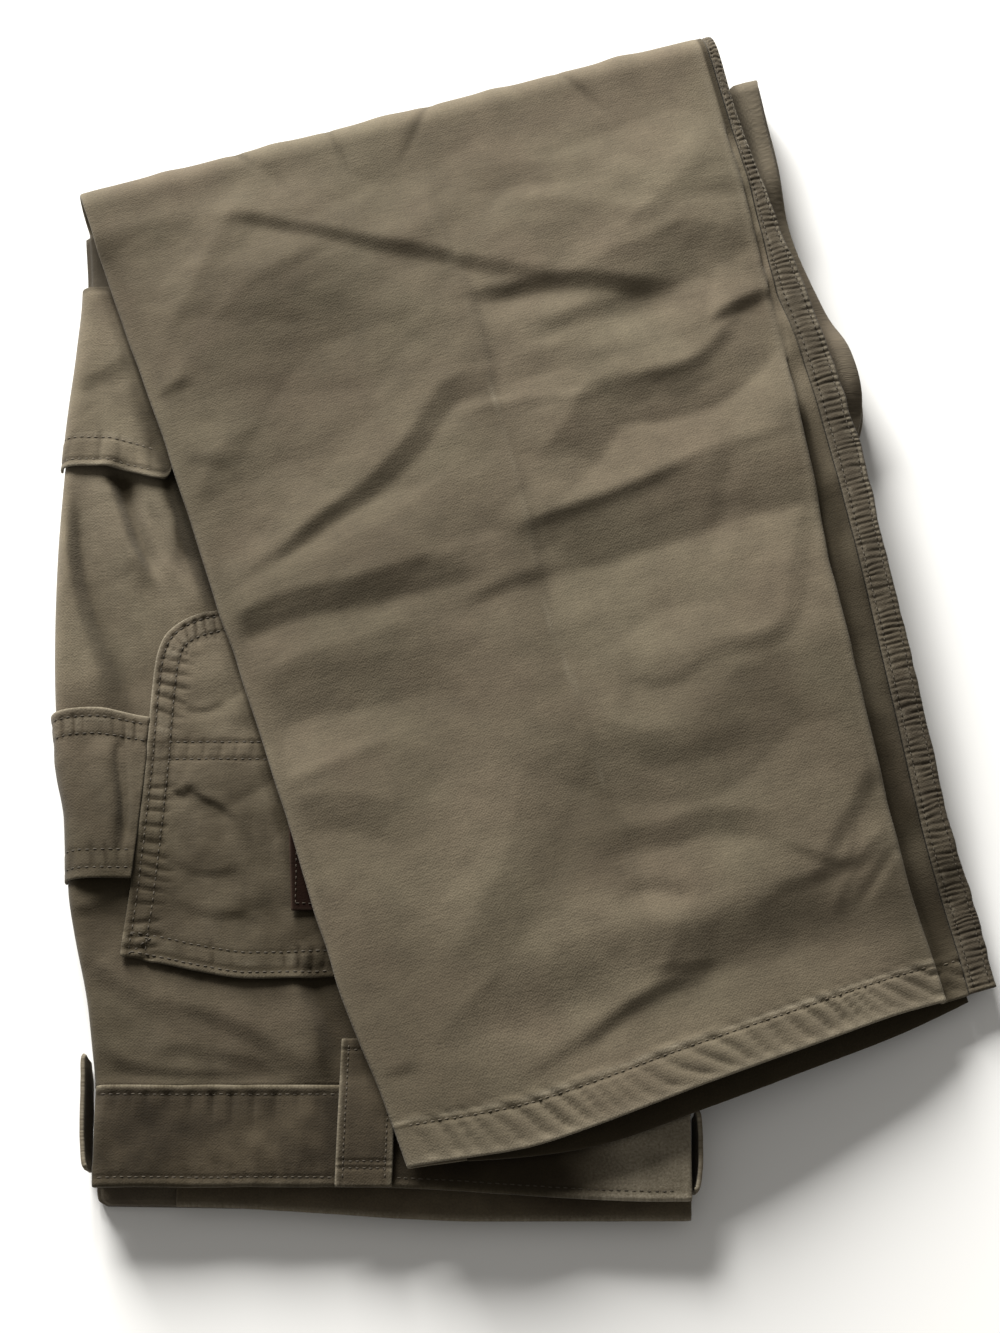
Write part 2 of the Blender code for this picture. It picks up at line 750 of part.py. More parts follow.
def make_leg_back_panel():
    """Upper wall of the folded leg, round its left edge and over the knee fold."""
    grid = []
    for distance in tube_stations(13.6):
        row = []
        for across, height in back_profile(distance, 16):
            row.append(over_fold(station_along(distance, across, 1), across, height))
        grid.append(row)
    cloth("leg_back_panel", grid, "canvas")


def make_leg_front_panel():
    """Lower wall of the folded leg; its hem shows past the upper hem."""
    grid = []
    for distance in tube_stations(20.0):
        along = station_along(distance, 130.0, 2)
        start = look_up(LEG_WIDTHS, along) + FLAP_REACH + 0.4
        end = look_up(LEG_WIDTHS, along, 3) - strip_width(along) - SEAM_GAP
        row = []
        for across in between(start, start + 60.0, 6)[:-1] + between(start + 60.0, end, 10):
            here = station_along(distance, across, 2)
            row.append(over_fold(here, across, leg_underside(here, across)))
        grid.append(row)
    cloth("leg_front_panel", grid, "canvas", flip=True)


def make_inseam():
    """Flat-felled seam with puckers, along the leg's outer edge and over the fold."""
    section = ((0.0, 0.35), (0.0, 2.5), (0.12, 3.0), (0.85, 3.0), (1.0, 2.1), (1.0, 1.0), (0.88, 0.35))
    last = FOLD_AT + FOLD_ARC + TUCK
    loops = []
    for index, distance in enumerate(between(0.0, last, 80)):
        along = station_along(distance, 262.0, 1)
        outer = look_up(LEG_WIDTHS, along, 3)
        width = strip_width(along)
        flat = 1.0 - smooth((along - FOLD_AT + 20.0) / 20.0)
        pucker = 0.3 * flat * (-1.0) ** index
        rest = leg_underside(along, outer - width)
        ring = []
        for share, height in section:
            lift = pucker if height > 2.0 else 0.0
            across = outer - width + share * width
            ring.append(over_fold(along, across, rest + height * STRIP_BULK / 3.0 + lift))
        loops.append(ring)
    loft("inseam", loops, "seam")


def start_collections():
    """Clear the scene and make the collections."""
    for thing in list(bpy.data.objects):
        bpy.data.objects.remove(thing)
    for name in (COLLECTION, "cutters"):
        collection = bpy.data.collections.new(name)
        bpy.context.scene.collection.children.link(collection)


def stand_on_origin():
    """Move every piece so that the whole stands centred on the origin."""
    bpy.context.view_layer.update()
    graph = bpy.context.evaluated_depsgraph_get()
    points = []
    for thing in bpy.data.collections[COLLECTION].objects:
        shape = thing.evaluated_get(graph).data
        points += [vertex.co.copy() for vertex in shape.vertices]
    middle = [(min(p[i] for p in points) + max(p[i] for p in points)) / 2.0 for i in range(2)]
    low = min(p[2] for p in points)
    print("centre", [round(value / MM, 2) for value in middle], "low", round(low / MM, 3))
    for thing in bpy.data.objects:
        for vertex in thing.data.vertices:
            vertex.co.x -= middle[0]
            vertex.co.y -= middle[1]
            vertex.co.z -= low


def main():
    start_collections()
    make_folded_layers()
    make_seat_panel()
    make_back_pocket()
    make_pocket_label()
    make_hammer_loop()
    make_tool_pocket()
    make_waistband()
    make_front_waistband()
    make_back_belt_loop()
    make_edge_loop("side_belt_loop", body_left, -1.0, -219.0, -172.0, 3.0)
    make_edge_loop("centre_belt_loop", body_right, 1.0, -232.0, -200.0, 1.6)
    make_leg_back_panel()
    make_leg_front_panel()
    make_inseam()
    stand_on_origin()


main()
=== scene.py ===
import math

import bpy
import numpy as np
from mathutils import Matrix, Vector


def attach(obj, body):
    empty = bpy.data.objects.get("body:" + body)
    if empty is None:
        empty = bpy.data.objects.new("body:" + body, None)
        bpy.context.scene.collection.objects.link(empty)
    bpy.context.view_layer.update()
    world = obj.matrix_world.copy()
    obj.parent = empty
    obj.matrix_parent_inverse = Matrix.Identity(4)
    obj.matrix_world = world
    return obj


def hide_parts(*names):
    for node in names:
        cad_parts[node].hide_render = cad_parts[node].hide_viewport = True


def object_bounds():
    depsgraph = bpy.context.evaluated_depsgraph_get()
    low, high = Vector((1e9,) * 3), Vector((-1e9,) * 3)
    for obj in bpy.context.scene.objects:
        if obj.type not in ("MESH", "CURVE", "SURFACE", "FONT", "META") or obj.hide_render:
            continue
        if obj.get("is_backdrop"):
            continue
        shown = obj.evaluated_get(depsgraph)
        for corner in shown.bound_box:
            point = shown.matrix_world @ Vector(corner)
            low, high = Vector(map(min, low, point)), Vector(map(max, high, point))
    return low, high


# Looks of folded carpenter trousers of canvas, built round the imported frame.
# Lengths are in millimetres until a mesh is made. The body runs along Y with the
# waist at -Y. The top leg lies over it in its own tilted frame: `along` and
# `distance` run from the hem to the knee fold, `across` from the left edge.

# One millimetre in metres, and the middle of the stack on the floor
MM = 0.001
CENTRE = np.array([7.36, 39.44, 0.0])

# Thickness of the cloth and of doubled pieces, and the gaps between pieces
WALL = 1.2
GAP = 0.4
SEAM_GAP = 0.75
BAND_WALL = 3.0
LOOP_WALL = 2.0
LABEL_WALL = 1.0

# Heights of the body: its layers, the seat cloth, the waist, the ledge of the band below,
# and the swelling of the layers at the right of the leg
BODY_TOP = 15.1
SEAT_TOP = BODY_TOP + GAP + WALL
WAIST_TOP = 14.4
LEDGE_TOP = 7.0
WAIST_SEAM_Y = -189.0
RIGHT_RISE = 9.0

# The top leg: slant, corner at the hem, height of its lower face over the body, width of
# the cloth turned in below its left edge, and how far cloth of the body goes in under it
LEG_TILT = math.radians(16.0)
HEM_X = -38.0
HEM_Y = -225.0
LEG_REST = 25.0
FLAP_REACH = 25.0
UNDER_EDGE = 20.0

# Its hem: the row of thread from the edge, and what the turned cloth adds
HEM_DEPTH = 17.0
HEM_BULK = 0.7

# Room between its two walls: over most of it, at the left edge, at the knee fold, below
# the deepest trough, below the folds, at the open hem and below the ridge
TUBE_ROOM = 2.9
EDGE_ROOM = 2.2
FOLD_ROOM = 0.8
LEAST_ROOM = 0.4
FOLD_SPACE = 2.2
HEM_GAPE = 2.6
RIDGE_LIFT = 3.4

# The felled seam's width, and the height of the shelf between ridge and seam
STRIP_WIDTH = 13.2
SHELF_BULK = 2.0 * WALL + 0.7

# The knee fold: its height, reach, start and arc, and the cloth that goes on below it
FOLD_TOP = LEG_REST + 2.0 * WALL + FOLD_ROOM
FOLD_MIDDLE = FOLD_TOP / 2.0
FOLD_REACH = 489.0
FOLD_AT = FOLD_REACH - FOLD_MIDDLE
FOLD_MEAN_RADIUS = 12.5
FOLD_ARC = math.pi * FOLD_MEAN_RADIUS
TUCK = 12.0

# How far and over what run the leg sinks past the body's right edge, and the run over
# which it rises from its left edge
DROP = 15.6
DROP_RUN = 120.0
SIDE_RAMP = 62.0

# Offsets over which a crease is blurred, and points per stretch of its line
CREASE_SOFTNESS = (-0.9, -0.3, 0.3, 0.9)
BEND_STEPS = 4

# Stitches: their pitch, the share of it that a stitch takes, the thread's section
STITCH_PITCH = 3.2
STITCH_SHARE = 0.8
THREAD_WIDTH = 0.3
THREAD_HEIGHT = 0.18

# along, left edge, ridge, outer edge
LEG_WIDTHS = (
    (0.0, -1.0, 241.0, 265.5),
    (29.0, -3.0, 241.5, 267.5),
    (75.0, -8.5, 241.5, 268.5),
    (140.0, -10.0, 246.5, 274.0),
    (203.0, -12.5, 252.5, 279.5),
    (262.0, -15.0, 259.0, 284.0),
    (318.0, -17.0, 265.0, 286.0),
    (371.0, -20.5, 270.0, 283.0),
    (430.0, -24.0, 273.0, 282.0),
    (480.0, -26.5, 275.0, 284.0),
    (530.0, -26.5, 275.0, 284.0),
)

# across, upper hem, lower hem
HEM_LINE = (
    (-30.0, 1.0, 2.0),
    (0.0, 0.0, 1.0),
    (46.0, -6.0, -8.0),
    (82.0, -5.0, -12.0),
    (128.0, -1.0, -9.0),
    (174.0, 3.0, -4.5),
    (219.0, 7.0, 0.5),
    (262.0, 9.0, 8.0),
    (290.0, 12.0, 12.0),
)

# along, height of the leg's left edge over the body, inset of the layers below it
LEFT_REST = (
    (-20.0, 22.4, 26.5),
    (55.0, 22.4, 26.5),
    (88.0, 21.1, 26.5),
    (175.0, 21.1, 26.5),
    (200.0, 19.8, 26.5),
    (260.0, 19.2, 26.5),
    (310.0, 19.4, 26.5),
    (325.0, 20.0, 26.5),
    (358.0, 20.0, 26.5),
    (380.0, 19.2, 26.5),
    (420.0, 19.2, 26.5),
    (444.0, 21.2, 26.5),
    (462.0, 25.0, 5.0),
    (530.0, 25.0, 3.5),
)

# across, height of the hem over the waistband, start of the layers below it
HEM_REST = (
    (-30.0, 22.4, 50.0),
    (30.0, 22.4, 50.0),
    (60.0, 20.6, 50.0),
    (118.0, 19.4, 50.0),
    (128.0, 19.0, 44.0),
    (138.0, 18.4, 4.0),
    (160.0, 18.0, 0.0),
    (219.0, 18.0, 5.0),
    (290.0, 18.0, 16.0),
)

# y, left outline x, top of the lower layers
BODY_LEFT = (
    (-237.0, -168.0, 6.4),
    (-235.0, -171.0, LEDGE_TOP),
    (-226.3, -172.0, LEDGE_TOP),
    (-226.0, -172.0, WAIST_TOP),
    (-206.0, -172.5, WAIST_TOP),
    (-188.0, -173.0, WAIST_TOP),
    (-172.0, -175.0, BODY_TOP),
    (-149.0, -178.5, BODY_TOP),
    (-121.0, -185.0, BODY_TOP),
    (-102.0, -188.5, BODY_TOP),
    (-66.0, -190.5, BODY_TOP),
    (-40.0, -195.0, BODY_TOP),
    (-18.0, -198.0, BODY_TOP),
    (16.0, -200.0, BODY_TOP),
    (56.0, -200.5, BODY_TOP),
    (94.0, -199.5, BODY_TOP),
    (130.0, -197.5, BODY_TOP),
    (155.0, -195.5, BODY_TOP),
    (180.0, -194.0, BODY_TOP),
    (197.0, -194.0, 12.6),
    (219.0, -196.0, 12.6),
)

# y, right outline x
BODY_RIGHT = (
    (-241.0, 76.0),
    (-239.0, 79.0),
    (-229.0, 80.0),
    (-196.0, 81.0),
    (-160.0, 86.0),
    (-120.0, 92.0),
    (-80.0, 102.0),
    (-45.0, 112.0),
    (-10.0, 123.0),
    (20.0, 134.0),
    (50.0, 145.0),
    (82.0, 157.0),
    (110.0, 164.5),
    (130.0, 168.5),
    (155.0, 163.5),
    (182.0, 151.0),
    (217.0, 139.0),
    (256.0, 132.5),
    (298.0, 125.0),
)

# reach over the cloth from the curl's lower edge, inset from the outline, height
CURL_RUN = (
    (0.0, 0.3, 9.2),
    (3.2, 0.3, 12.4),
    (5.9, 1.3, 14.9),
    (8.6, 3.6, 16.3),
    (13.0, 8.0, SEAT_TOP),
)
CURL_REACH = 13.0
CURL_INSET = 8.0

# Sections of the creases: distance from the crease in widths, height
CREASE_SECTIONS = {
    "step": ((-5.0, 0.0), (-3.0, -0.2), (-1.0, -0.5), (0.0, 0.5), (2.0, 0.26), (5.0, 0.0)),
    "band": ((-2.6, 0.0), (-1.8, -0.22), (-1.0, -0.5), (0.0, 0.5), (0.9, 0.26), (2.2, 0.0)),
    "trough": ((-2.8, 0.0), (-1.7, 0.12), (-1.0, 0.1), (0.0, -0.9), (1.0, 0.1), (1.7, 0.12), (2.8, 0.0)),
    "crest": ((-3.0, 0.0), (-1.0, 0.3), (0.0, 1.0), (1.0, 0.3), (3.0, 0.0)),
}

# Creases of the top leg: section, height, width at the start and at the end,
# points along the crest's edge
CREASES = (
    ("step", 2.6, 5.5, 7.0, ((-150, 222), (-118, 221), (-100, 217), (-80, 213), (-60, 208), (-40, 204),
     (-20, 199.5), (-2, 195), (20, 192), (44, 190))),
    ("step", 3.2, 6.0, 9.0, ((-24, 179), (8, 185), (22, 188), (40, 189), (58, 187), (72, 186),
     (92, 184))),
    ("band", 4.8, 24.0, 30.0, ((30, 190), (44, 196), (55, 202), (68, 206), (80, 214), (95, 216),
     (112, 209), (126, 197))),
    ("step", 2.6, 4.0, 4.5, ((94, 164), (104, 171), (112, 176), (128, 185))),
    ("band", 4.6, 22.0, 27.0, ((6, 80), (19, 98), (30, 114), (38, 130), (54, 136), (67, 138), (84, 143),
     (98, 155), (105, 167), (114, 188))),
    ("step", 1.2, 6.0, 6.0, ((46, 132), (60, 137), (75, 140), (88, 145), (98, 155), (105, 168),
     (110, 182))),
    ("band", 6.4, 26.0, 40.0, ((-6, 50), (10, 63), (19, 68), (40, 74), (66, 86), (83, 94), (101, 103),
     (116, 106), (129, 110), (156, 120))),
    ("step", 1.2, 5.0, 5.0, ((2, 57), (12, 64), (32, 72), (66, 86), (92, 98))),
    ("trough", 0.6, 8.0, 8.0, ((90, 40), (98, 62), (101, 80), (108, 112))),
    ("step", 1.7, 8.0, 9.0, ((84, 7), (104, 9), (114, 11), (123, 17), (127, 28), (129, 44), (131, 58),
     (137, 74), (145, 94))),
    ("band", 3.6, 10.0, 17.0, ((-166, 2), (-140, 12), (-115, 24), (-100, 31), (-85, 35), (-65, 38),
     (-45, 44), (-25, 50), (-10, 55), (2, 58))),
    ("step", 1.3, 5.0, 7.0, ((-18, 27), (-8, 32), (2, 37), (14, 42), (24, 48))),
    ("band", 2.8, 4.0, 14.0, ((-122, 38), (-98, 55), (-82, 69), (-64, 82), (-52, 94), (-41, 108),
     (-34, 122), (-26, 133), (-11, 139), (12, 139))),
    ("crest", 0.9, 4.0, 4.0, ((-26, 117), (-11, 120), (10, 124), (36, 126), (54, 132))),
    ("step", 2.2, 4.6, 5.0, ((8, 104), (-4, 126), (-8, 150), (-20, 192), (-25, 201), (-34, 230),
     (-39, 246))),
    ("step", 1.5, 4.2, 4.2, ((23, 14), (14, 54), (7, 86), (-2, 122))),
    ("crest", 0.8, 3.0, 3.0, ((63, -122), (52, -79), (41, -47), (33, -15), (26, 10))),
    ("band", 3.8, 32.0, 36.0, ((14, -18), (50, -31), (66, -34), (82, -32), (94, -20), (104, -6), (118, 2),
     (150, 8))),
    ("step", 0.8, 9.0, 12.0, ((38, -33), (62, -38), (76, -40), (92, -36), (114, -25))),
    ("step", 2.3, 11.0, 12.0, ((34, -84), (56, -78), (70, -76), (86, -70), (100, -69), (128, -73))),
    ("step", 0.9, 6.0, 6.0, ((48, -104), (66, -101), (86, -104))),
    ("step", 0.8, 5.0, 5.0, ((54, -6), (70, -10), (80, -6), (92, 4))),
    ("step", 1.5, 6.0, 7.0, ((134, -100), (145, -78), (152, -66), (158, -55), (170, -38))),
    ("step", 0.8, 5.0, 5.0, ((102, -118), (122, -103), (134, -98), (146, -90), (168, -74))),
    ("step", 0.9, 2.8, 2.8, ((118, -82), (126, -85), (149, -92), (166, -84))),
    ("step", 0.8, 2.8, 2.8, ((128, -103), (136, -98), (149, -92), (153, -72))),
    ("crest", 0.7, 3.0, 3.0, ((142, -120), (150, -98), (158, -86), (172, -73))),
    ("trough", 0.8, 3.0, 3.0, ((154, -112), (166, -94), (178, -77))),
    ("step", 1.0, 5.0, 8.0, ((0, -192), (14, -183), (24, -176), (49, -158), (72, -145), (84, -138),
     (100, -124))),
    ("crest", 2.2, 16.0, 18.0, ((44, -162), (64, -148), (74, -132), (78, -108))),
    ("step", 0.9, 3.0, 3.0, ((66, -141), (72, -139), (82, -138), (94, -135))),
    ("step", 1.3, 4.0, 4.0, ((28, -177), (36, -171), (54, -156), (74, -145), (88, -143))),
    ("band", 1.6, 20.0, 28.0, ((-26, -150), (-12, -120), (3, -88), (8, -62), (14, -36))),
    ("band", 3.8, 26.0, 36.0, ((-126, -14), (-86, 4), (-66, 8), (-46, 14), (-10, 20))),
    ("crest", 0.8, 5.0, 5.0, ((-106, -63), (-80, -50), (-60, -42), (-38, -33))),
    ("band", 2.4, 16.0, 18.0, ((-106, -70), (-80, -62), (-62, -62), (-34, -70))),
    ("crest", 2.2, 14.0, 14.0, ((-160, 140), (-140, 190), (-126, 222), (-112, 258))),
    ("band", 5.0, 44.0, 48.0, ((-164, 100), (-144, 144), (-126, 174), (-100, 196), (-54, 214))),
    ("band", 2.4, 20.0, 24.0, ((-148, 56), (-132, 92), (-122, 108), (-88, 124))),
    ("step", 1.3, 4.0, 4.0, ((-164, 126), (-154, 133), (-142, 139))),
    ("step", 0.8, 5.0, 5.0, ((-150, 96), (-136, 100), (-120, 96))),
    ("band", 1.6, 12.0, 14.0, ((-22, 242), (10, 248), (52, 253))),
    ("crest", 0.9, 8.0, 8.0, ((-4, 229), (40, 226), (76, 218))),
    ("step", 0.9, 7.0, 7.0, ((82, 233), (100, 238), (118, 244))),
    ("crest", 1.3, 10.0, 10.0, ((50, 204), (80, 236), (106, 270))),
    ("band", 1.7, 9.0, 10.0, ((4, 160), (30, 170), (46, 176), (70, 183))),
    ("band", 1.2, 12.0, 12.0, ((-2, 143), (26, 152), (44, 156), (74, 162))),
    ("step", 1.0, 3.0, 3.0, ((-64, -191), (-52, -186), (-34, -181))),
)

# Creases that run over the knee fold: across, slant, width, height
FOLD_CREASES = (
    (16.0, 0.12, 7.0, 0.9),
    (45.0, -0.60, 2.6, -1.1),
    (70.0, 0.42, 8.0, 1.2),
    (93.0, -0.15, 2.2, -0.8),
    (124.0, 0.50, 10.0, 1.1),
    (149.0, 0.75, 2.8, -1.2),
    (176.0, 0.15, 7.0, 1.2),
    (203.0, -0.55, 2.4, -0.9),
    (236.0, -0.25, 8.0, 0.9),
)

# Creases of the seat and thigh beside the leg, in the same form
SEAT_CREASES = (
    ("band", 7.0, 12.0, 5.5, ((-171, -32), (-174, -19), (-181, 2), (-187, 19), (-193, 40), (-197, 64),
     (-199, 90))),
    ("band", 6.0, 5.0, 6.0, ((-158, 38), (-162, 48), (-168, 60), (-172, 71), (-176, 82), (-182, 100))),
    ("band", 1.8, 3.0, 3.0, ((-146, 40), (-149, 47), (-154, 57), (-158, 67), (-163, 80))),
    ("band", 5.4, 8.0, 7.0, ((-126, 14), (-131, 26), (-140, 47), (-147, 67), (-152, 84), (-158, 104))),
    ("band", 4.8, 9.0, 8.0, ((-73, -188), (-76, -180), (-80, -164), (-85, -153), (-92, -136))),
    ("step", 1.6, 5.0, 6.0, ((-176, -166), (-169, -170), (-160, -177), (-145, -180), (-119, -182),
     (-100, -182))),
    ("step", 1.4, 5.0, 8.0, ((-146, -148), (-133, -153), (-111, -161), (-94, -171), (-76, -184))),
    ("step", 1.5, 4.0, 4.0, ((-192, -99), (-188, -103), (-181, -109), (-175, -105), (-166, -101))),
    ("step", 1.4, 6.0, 8.0, ((-182, -128), (-174, -134), (-159, -145), (-134, -157))),
    ("step", 0.9, 5.0, 5.0, ((-150, -169), (-132, -171), (-104, -176), (-88, -181))),
    ("band", 1.2, 9.0, 9.0, ((-158, 112), (-164, 132), (-172, 152), (-178, 172), (-184, 192))),
    ("step", 0.8, 6.0, 6.0, ((-198, 138), (-188, 144), (-178, 150), (-168, 160))),
)

# Creases that only the back pocket has, in the same form
POCKET_CREASES = (
    ("step", 1.9, 2.0, 2.6, ((-153, -43), (-149, -47), (-145, -51), (-141, -57), (-136, -55), (-130, -60),
     (-122, -64), (-112, -72))),
    ("band", 1.3, 6.0, 6.0, ((-101, -120), (-102, -111), (-108, -94), (-113, -76), (-115, -56))),
    ("step", 0.9, 4.0, 4.0, ((-146, -86), (-139, -89), (-128, -93), (-112, -91))),
    ("step", 0.9, 3.0, 3.0, ((-147, -13), (-143, -15), (-133, -18), (-122, -14))),
    ("step", 0.8, 4.0, 5.0, ((-144, -104), (-130, -110), (-112, -112), (-98, -118))),
)

# x, y along the pocket's side, from its mouth to where the leg covers it
POCKET_SIDE = (
    (-142.0, -163.5),
    (-132.0, -163.0),
    (-102.0, -160.0),
    (-47.0, -156.0),
    (-5.0, -154.0),
    (10.0, -151.5),
    (18.0, -147.0),
    (24.0, -138.0),
    (28.0, -124.0),
)
# The pocket: its ends in y, the row of thread at the mouth, the length of its side and
# corner and the points along them, and the y of the two rows of thread across it
POCKET_TOP_Y = 28.0
POCKET_MOUTH_Y = -137.0
POCKET_MOUTH_ROW = 2.4
POCKET_EDGE_LENGTH = 215.0
POCKET_EDGE_POINTS = 60
POCKET_BAND_ROWS = (-34.8, -42.8)

# x, y of the pocket mouth, lift of its edge
POCKET_MOUTH = (
    (-164.0, -132.0, 0.0),
    (-147.0, -135.0, 0.1),
    (-129.0, -139.0, 0.3),
    (-108.0, -142.0, 0.4),
    (-60.0, -140.0, 0.1),
)

# x, y of the tool pocket's mouth, lift of its edge
TOOL_MOUTH = (
    (-202.0, 98.5, 0.0),
    (-186.0, 98.0, 1.0),
    (-178.0, 97.3, 2.6),
    (-168.0, 94.8, 1.0),
    (-153.5, 91.0, 0.9),
    (-150.5, 93.0, 0.8),
    (-147.5, 104.0, 0.6),
    (-130.0, 106.0, 0.0),
)
# The tool pocket: its mouth's y, its hem's depth and its side's x, and the seat's end in y
TOOL_MOUTH_Y = 97.0
TOOL_HEM = 14.0
TOOL_SIDE_X = -199.5
SEAT_END = 190.0

# The waistband: its ends in x, its rows of thread from the outer edge and from the seam,
# and the left end of the band on the layers below
BAND_ENDS = (-171.5, 80.0)
BAND_ROWS = (3.2, 3.4)
FRONT_BAND_START = -136.0

# The label: its ends in y
LABEL_ENDS = (-112.0, -62.0)


def smooth(value):
    """Ease from 0 to 1 as value runs from 0 to 1."""
    value = np.clip(value, 0.0, 1.0)
    return value * value * (3.0 - 2.0 * value)


def fall(value):
    """Ease from 1 to 0 as value runs from 0 to 1."""
    return 1.0 - smooth(value)


def bell(far, width):
    """Fade from 1 to 0 on both sides of far = 0."""
    return np.exp(-(far / width) ** 2)


def rib(phase):
    """Sharp ridges from 0 to 1, one at each whole number."""
    return 1.0 - np.abs(np.sin(math.pi * phase))


def points_of(*columns):
    """Stack coordinates whose shapes fit together into points."""
    return np.stack(np.broadcast_arrays(*columns), axis=-1)


def look_up(rows, at, column=1):
    """Read a column of a table at places between its rows, with a smooth run."""
    table = np.array(rows, float)
    keys, values = table[:, 0], table[:, column]
    at = np.clip(at, keys[0], keys[-1])
    low = np.clip(np.searchsorted(keys, at, side="right") - 1, 0, len(keys) - 2)
    high = low + 1
    before = np.maximum(low - 1, 0)
    after = np.minimum(low + 2, len(keys) - 1)
    span = keys[high] - keys[low]
    share = (at - keys[low]) / span
    slope_low = (values[high] - values[before]) / (keys[high] - keys[before]) * span
    slope_high = (values[after] - values[low]) / (keys[after] - keys[low]) * span
    straight = values[low] + (values[high] - values[low]) * smooth(share)
    return straight + share * (1.0 - share) * ((1.0 - share) * slope_low - share * slope_high)


def noise(x, y, size, seed):
    """Smooth random heights from -1 to 1 whose lumps have about one size."""
    table = np.random.default_rng(seed).uniform(-1.0, 1.0, (97, 89))
    total = 0.0
    for turn, weight in ((0.5, 0.62), (1.7, 0.38)):
        u = (x * math.cos(turn) + y * math.sin(turn)) / size + 31.0 * weight
        v = (y * math.cos(turn) - x * math.sin(turn)) / size + 17.0 * weight
        i, j = np.floor(u).astype(int), np.floor(v).astype(int)
        a, b = smooth(u - i), smooth(v - j)
        corner = [table[(i + di) % 97, (j + dj) % 89] for di in (0, 1) for dj in (0, 1)]
        row_low = corner[0] * (1.0 - b) + corner[1] * b
        row_high = corner[2] * (1.0 - b) + corner[3] * b
        total = total + weight * (row_low * (1.0 - a) + row_high * a)
    return total * 1.5


def bend_through(points):
    """A smooth line through a few points."""
    rows = [(float(i), x, y) for i, (x, y) in enumerate(points)]
    at = np.linspace(0.0, len(points) - 1.0, (len(points) - 1) * BEND_STEPS + 1)
    return points_of(look_up(rows, at, 1), look_up(rows, at, 2))


def line_distance(line, x, y, blur=0.02):
    """Signed distance to a line, positive on its left, and the share of its run."""
    best = np.full(np.shape(x), 1e9)
    for (px, py), (qx, qy) in zip(line[:-1], line[1:]):
        best = np.minimum(best, segment_distance(px, py, qx, qy, x, y)[0])
    total = np.zeros(np.shape(x))
    side = np.zeros(np.shape(x))
    run = np.zeros(np.shape(x))
    done = 0.0
    for (px, py), (qx, qy) in zip(line[:-1], line[1:]):
        far, share, turn = segment_distance(px, py, qx, qy, x, y)
        length = math.hypot(qx - px, qy - py)
        weight = np.exp((best - far) / blur)
        total += weight
        side += weight * np.clip(turn / 0.3, -1.0, 1.0)
        run += weight * (done + share * length)
        done += length
    return best * side / total, run / total / done


def segment_distance(px, py, qx, qy, x, y):
    """Distance to one piece of a line, the place along it and the offset to its left."""
    dx, dy = qx - px, qy - py
    length = math.hypot(dx, dy)
    share = np.clip(((x - px) * dx + (y - py) * dy) / length ** 2, 0.0, 1.0)
    ox, oy = x - px - share * dx, y - py - share * dy
    return np.hypot(ox, oy), share, (dx * oy - dy * ox) / length


def taper(run, share):
    """Fade a fold out at both of its ends."""
    return smooth(run / share) * smooth((1.0 - run) / share)


def crease_lift(crease, x, y):
    """Height of one crease."""
    shape, height, start, end, points = crease
    section = np.array(CREASE_SECTIONS[shape])
    line = bend_through(points)
    reach = max(start, end) * np.abs(section[:, 0]).max() + 2.0
    low, high = line.min(axis=0) - reach, line.max(axis=0) + reach
    near = (x > low[0]) & (x < high[0]) & (y > low[1]) & (y < high[1])
    far, run = line_distance(line, x[near], y[near], 3.0)
    width = start + (end - start) * run
    lift = sum(np.interp((far + shift) / width, *section.T) for shift in CREASE_SOFTNESS)
    total = np.zeros(np.shape(x))
    total[near] = height * taper(run, 0.26) * lift / len(CREASE_SOFTNESS)
    return total


def leg_to_body(along, across):
    """Place points of the leg's frame in the body's frame."""
    x = HEM_X + across * math.cos(LEG_TILT) - along * math.sin(LEG_TILT)
    y = HEM_Y + across * math.sin(LEG_TILT) + along * math.cos(LEG_TILT)
    return x, y


def over_fold(along, across, height):
    """Carry points of the flat leg round the knee fold and under the stack."""
    past = np.maximum(along - FOLD_AT, 0.0)
    turn = np.minimum(past / FOLD_MEAN_RADIUS, math.pi)
    under = np.maximum(0.0, past - FOLD_ARC)
    reach = height - FOLD_MIDDLE
    bent = past > 0.0
    along = np.where(bent, FOLD_AT + reach * np.sin(turn) - under, along)
    height = np.where(bent, FOLD_MIDDLE + reach * np.cos(turn), height)
    x, y = leg_to_body(along, across)
    return points_of(x, y, height)


def leg_edge_x(y, column=1):
    """Find where an edge of the top leg, by default its left one, crosses lines of the body."""
    along = np.zeros(np.shape(y))
    for _ in range(5):
        rise = look_up(LEG_WIDTHS, along, column) * math.sin(LEG_TILT)
        along = (y - HEM_Y - rise) / math.cos(LEG_TILT)
    return leg_to_body(along, look_up(LEG_WIDTHS, along, column))[0]


def leg_left(along):
    """Left edge of the top leg."""
    return look_up(LEG_WIDTHS, along)


def leg_outer(along):
    """Outer edge of the top leg, beyond the felled seam."""
    return look_up(LEG_WIDTHS, along, 3)


def under_leg(x, y, reach, run):
    """Ease from 0 to 1 where cloth of the body passes below the leg."""
    return smooth((x - leg_edge_x(y) + reach) / run)


def ridge_across(along):
    """Uneven edge of the leg's upper wall beside the inseam."""
    middle = smooth((along - 14.0) / 40.0) * smooth((468.0 - along) / 60.0)
    uneven = 0.9 * noise(along, 0.0, 33.0, 181) + 0.5 * noise(along, 0.0, 14.0, 182)
    return look_up(LEG_WIDTHS, along, 2) + middle * uneven


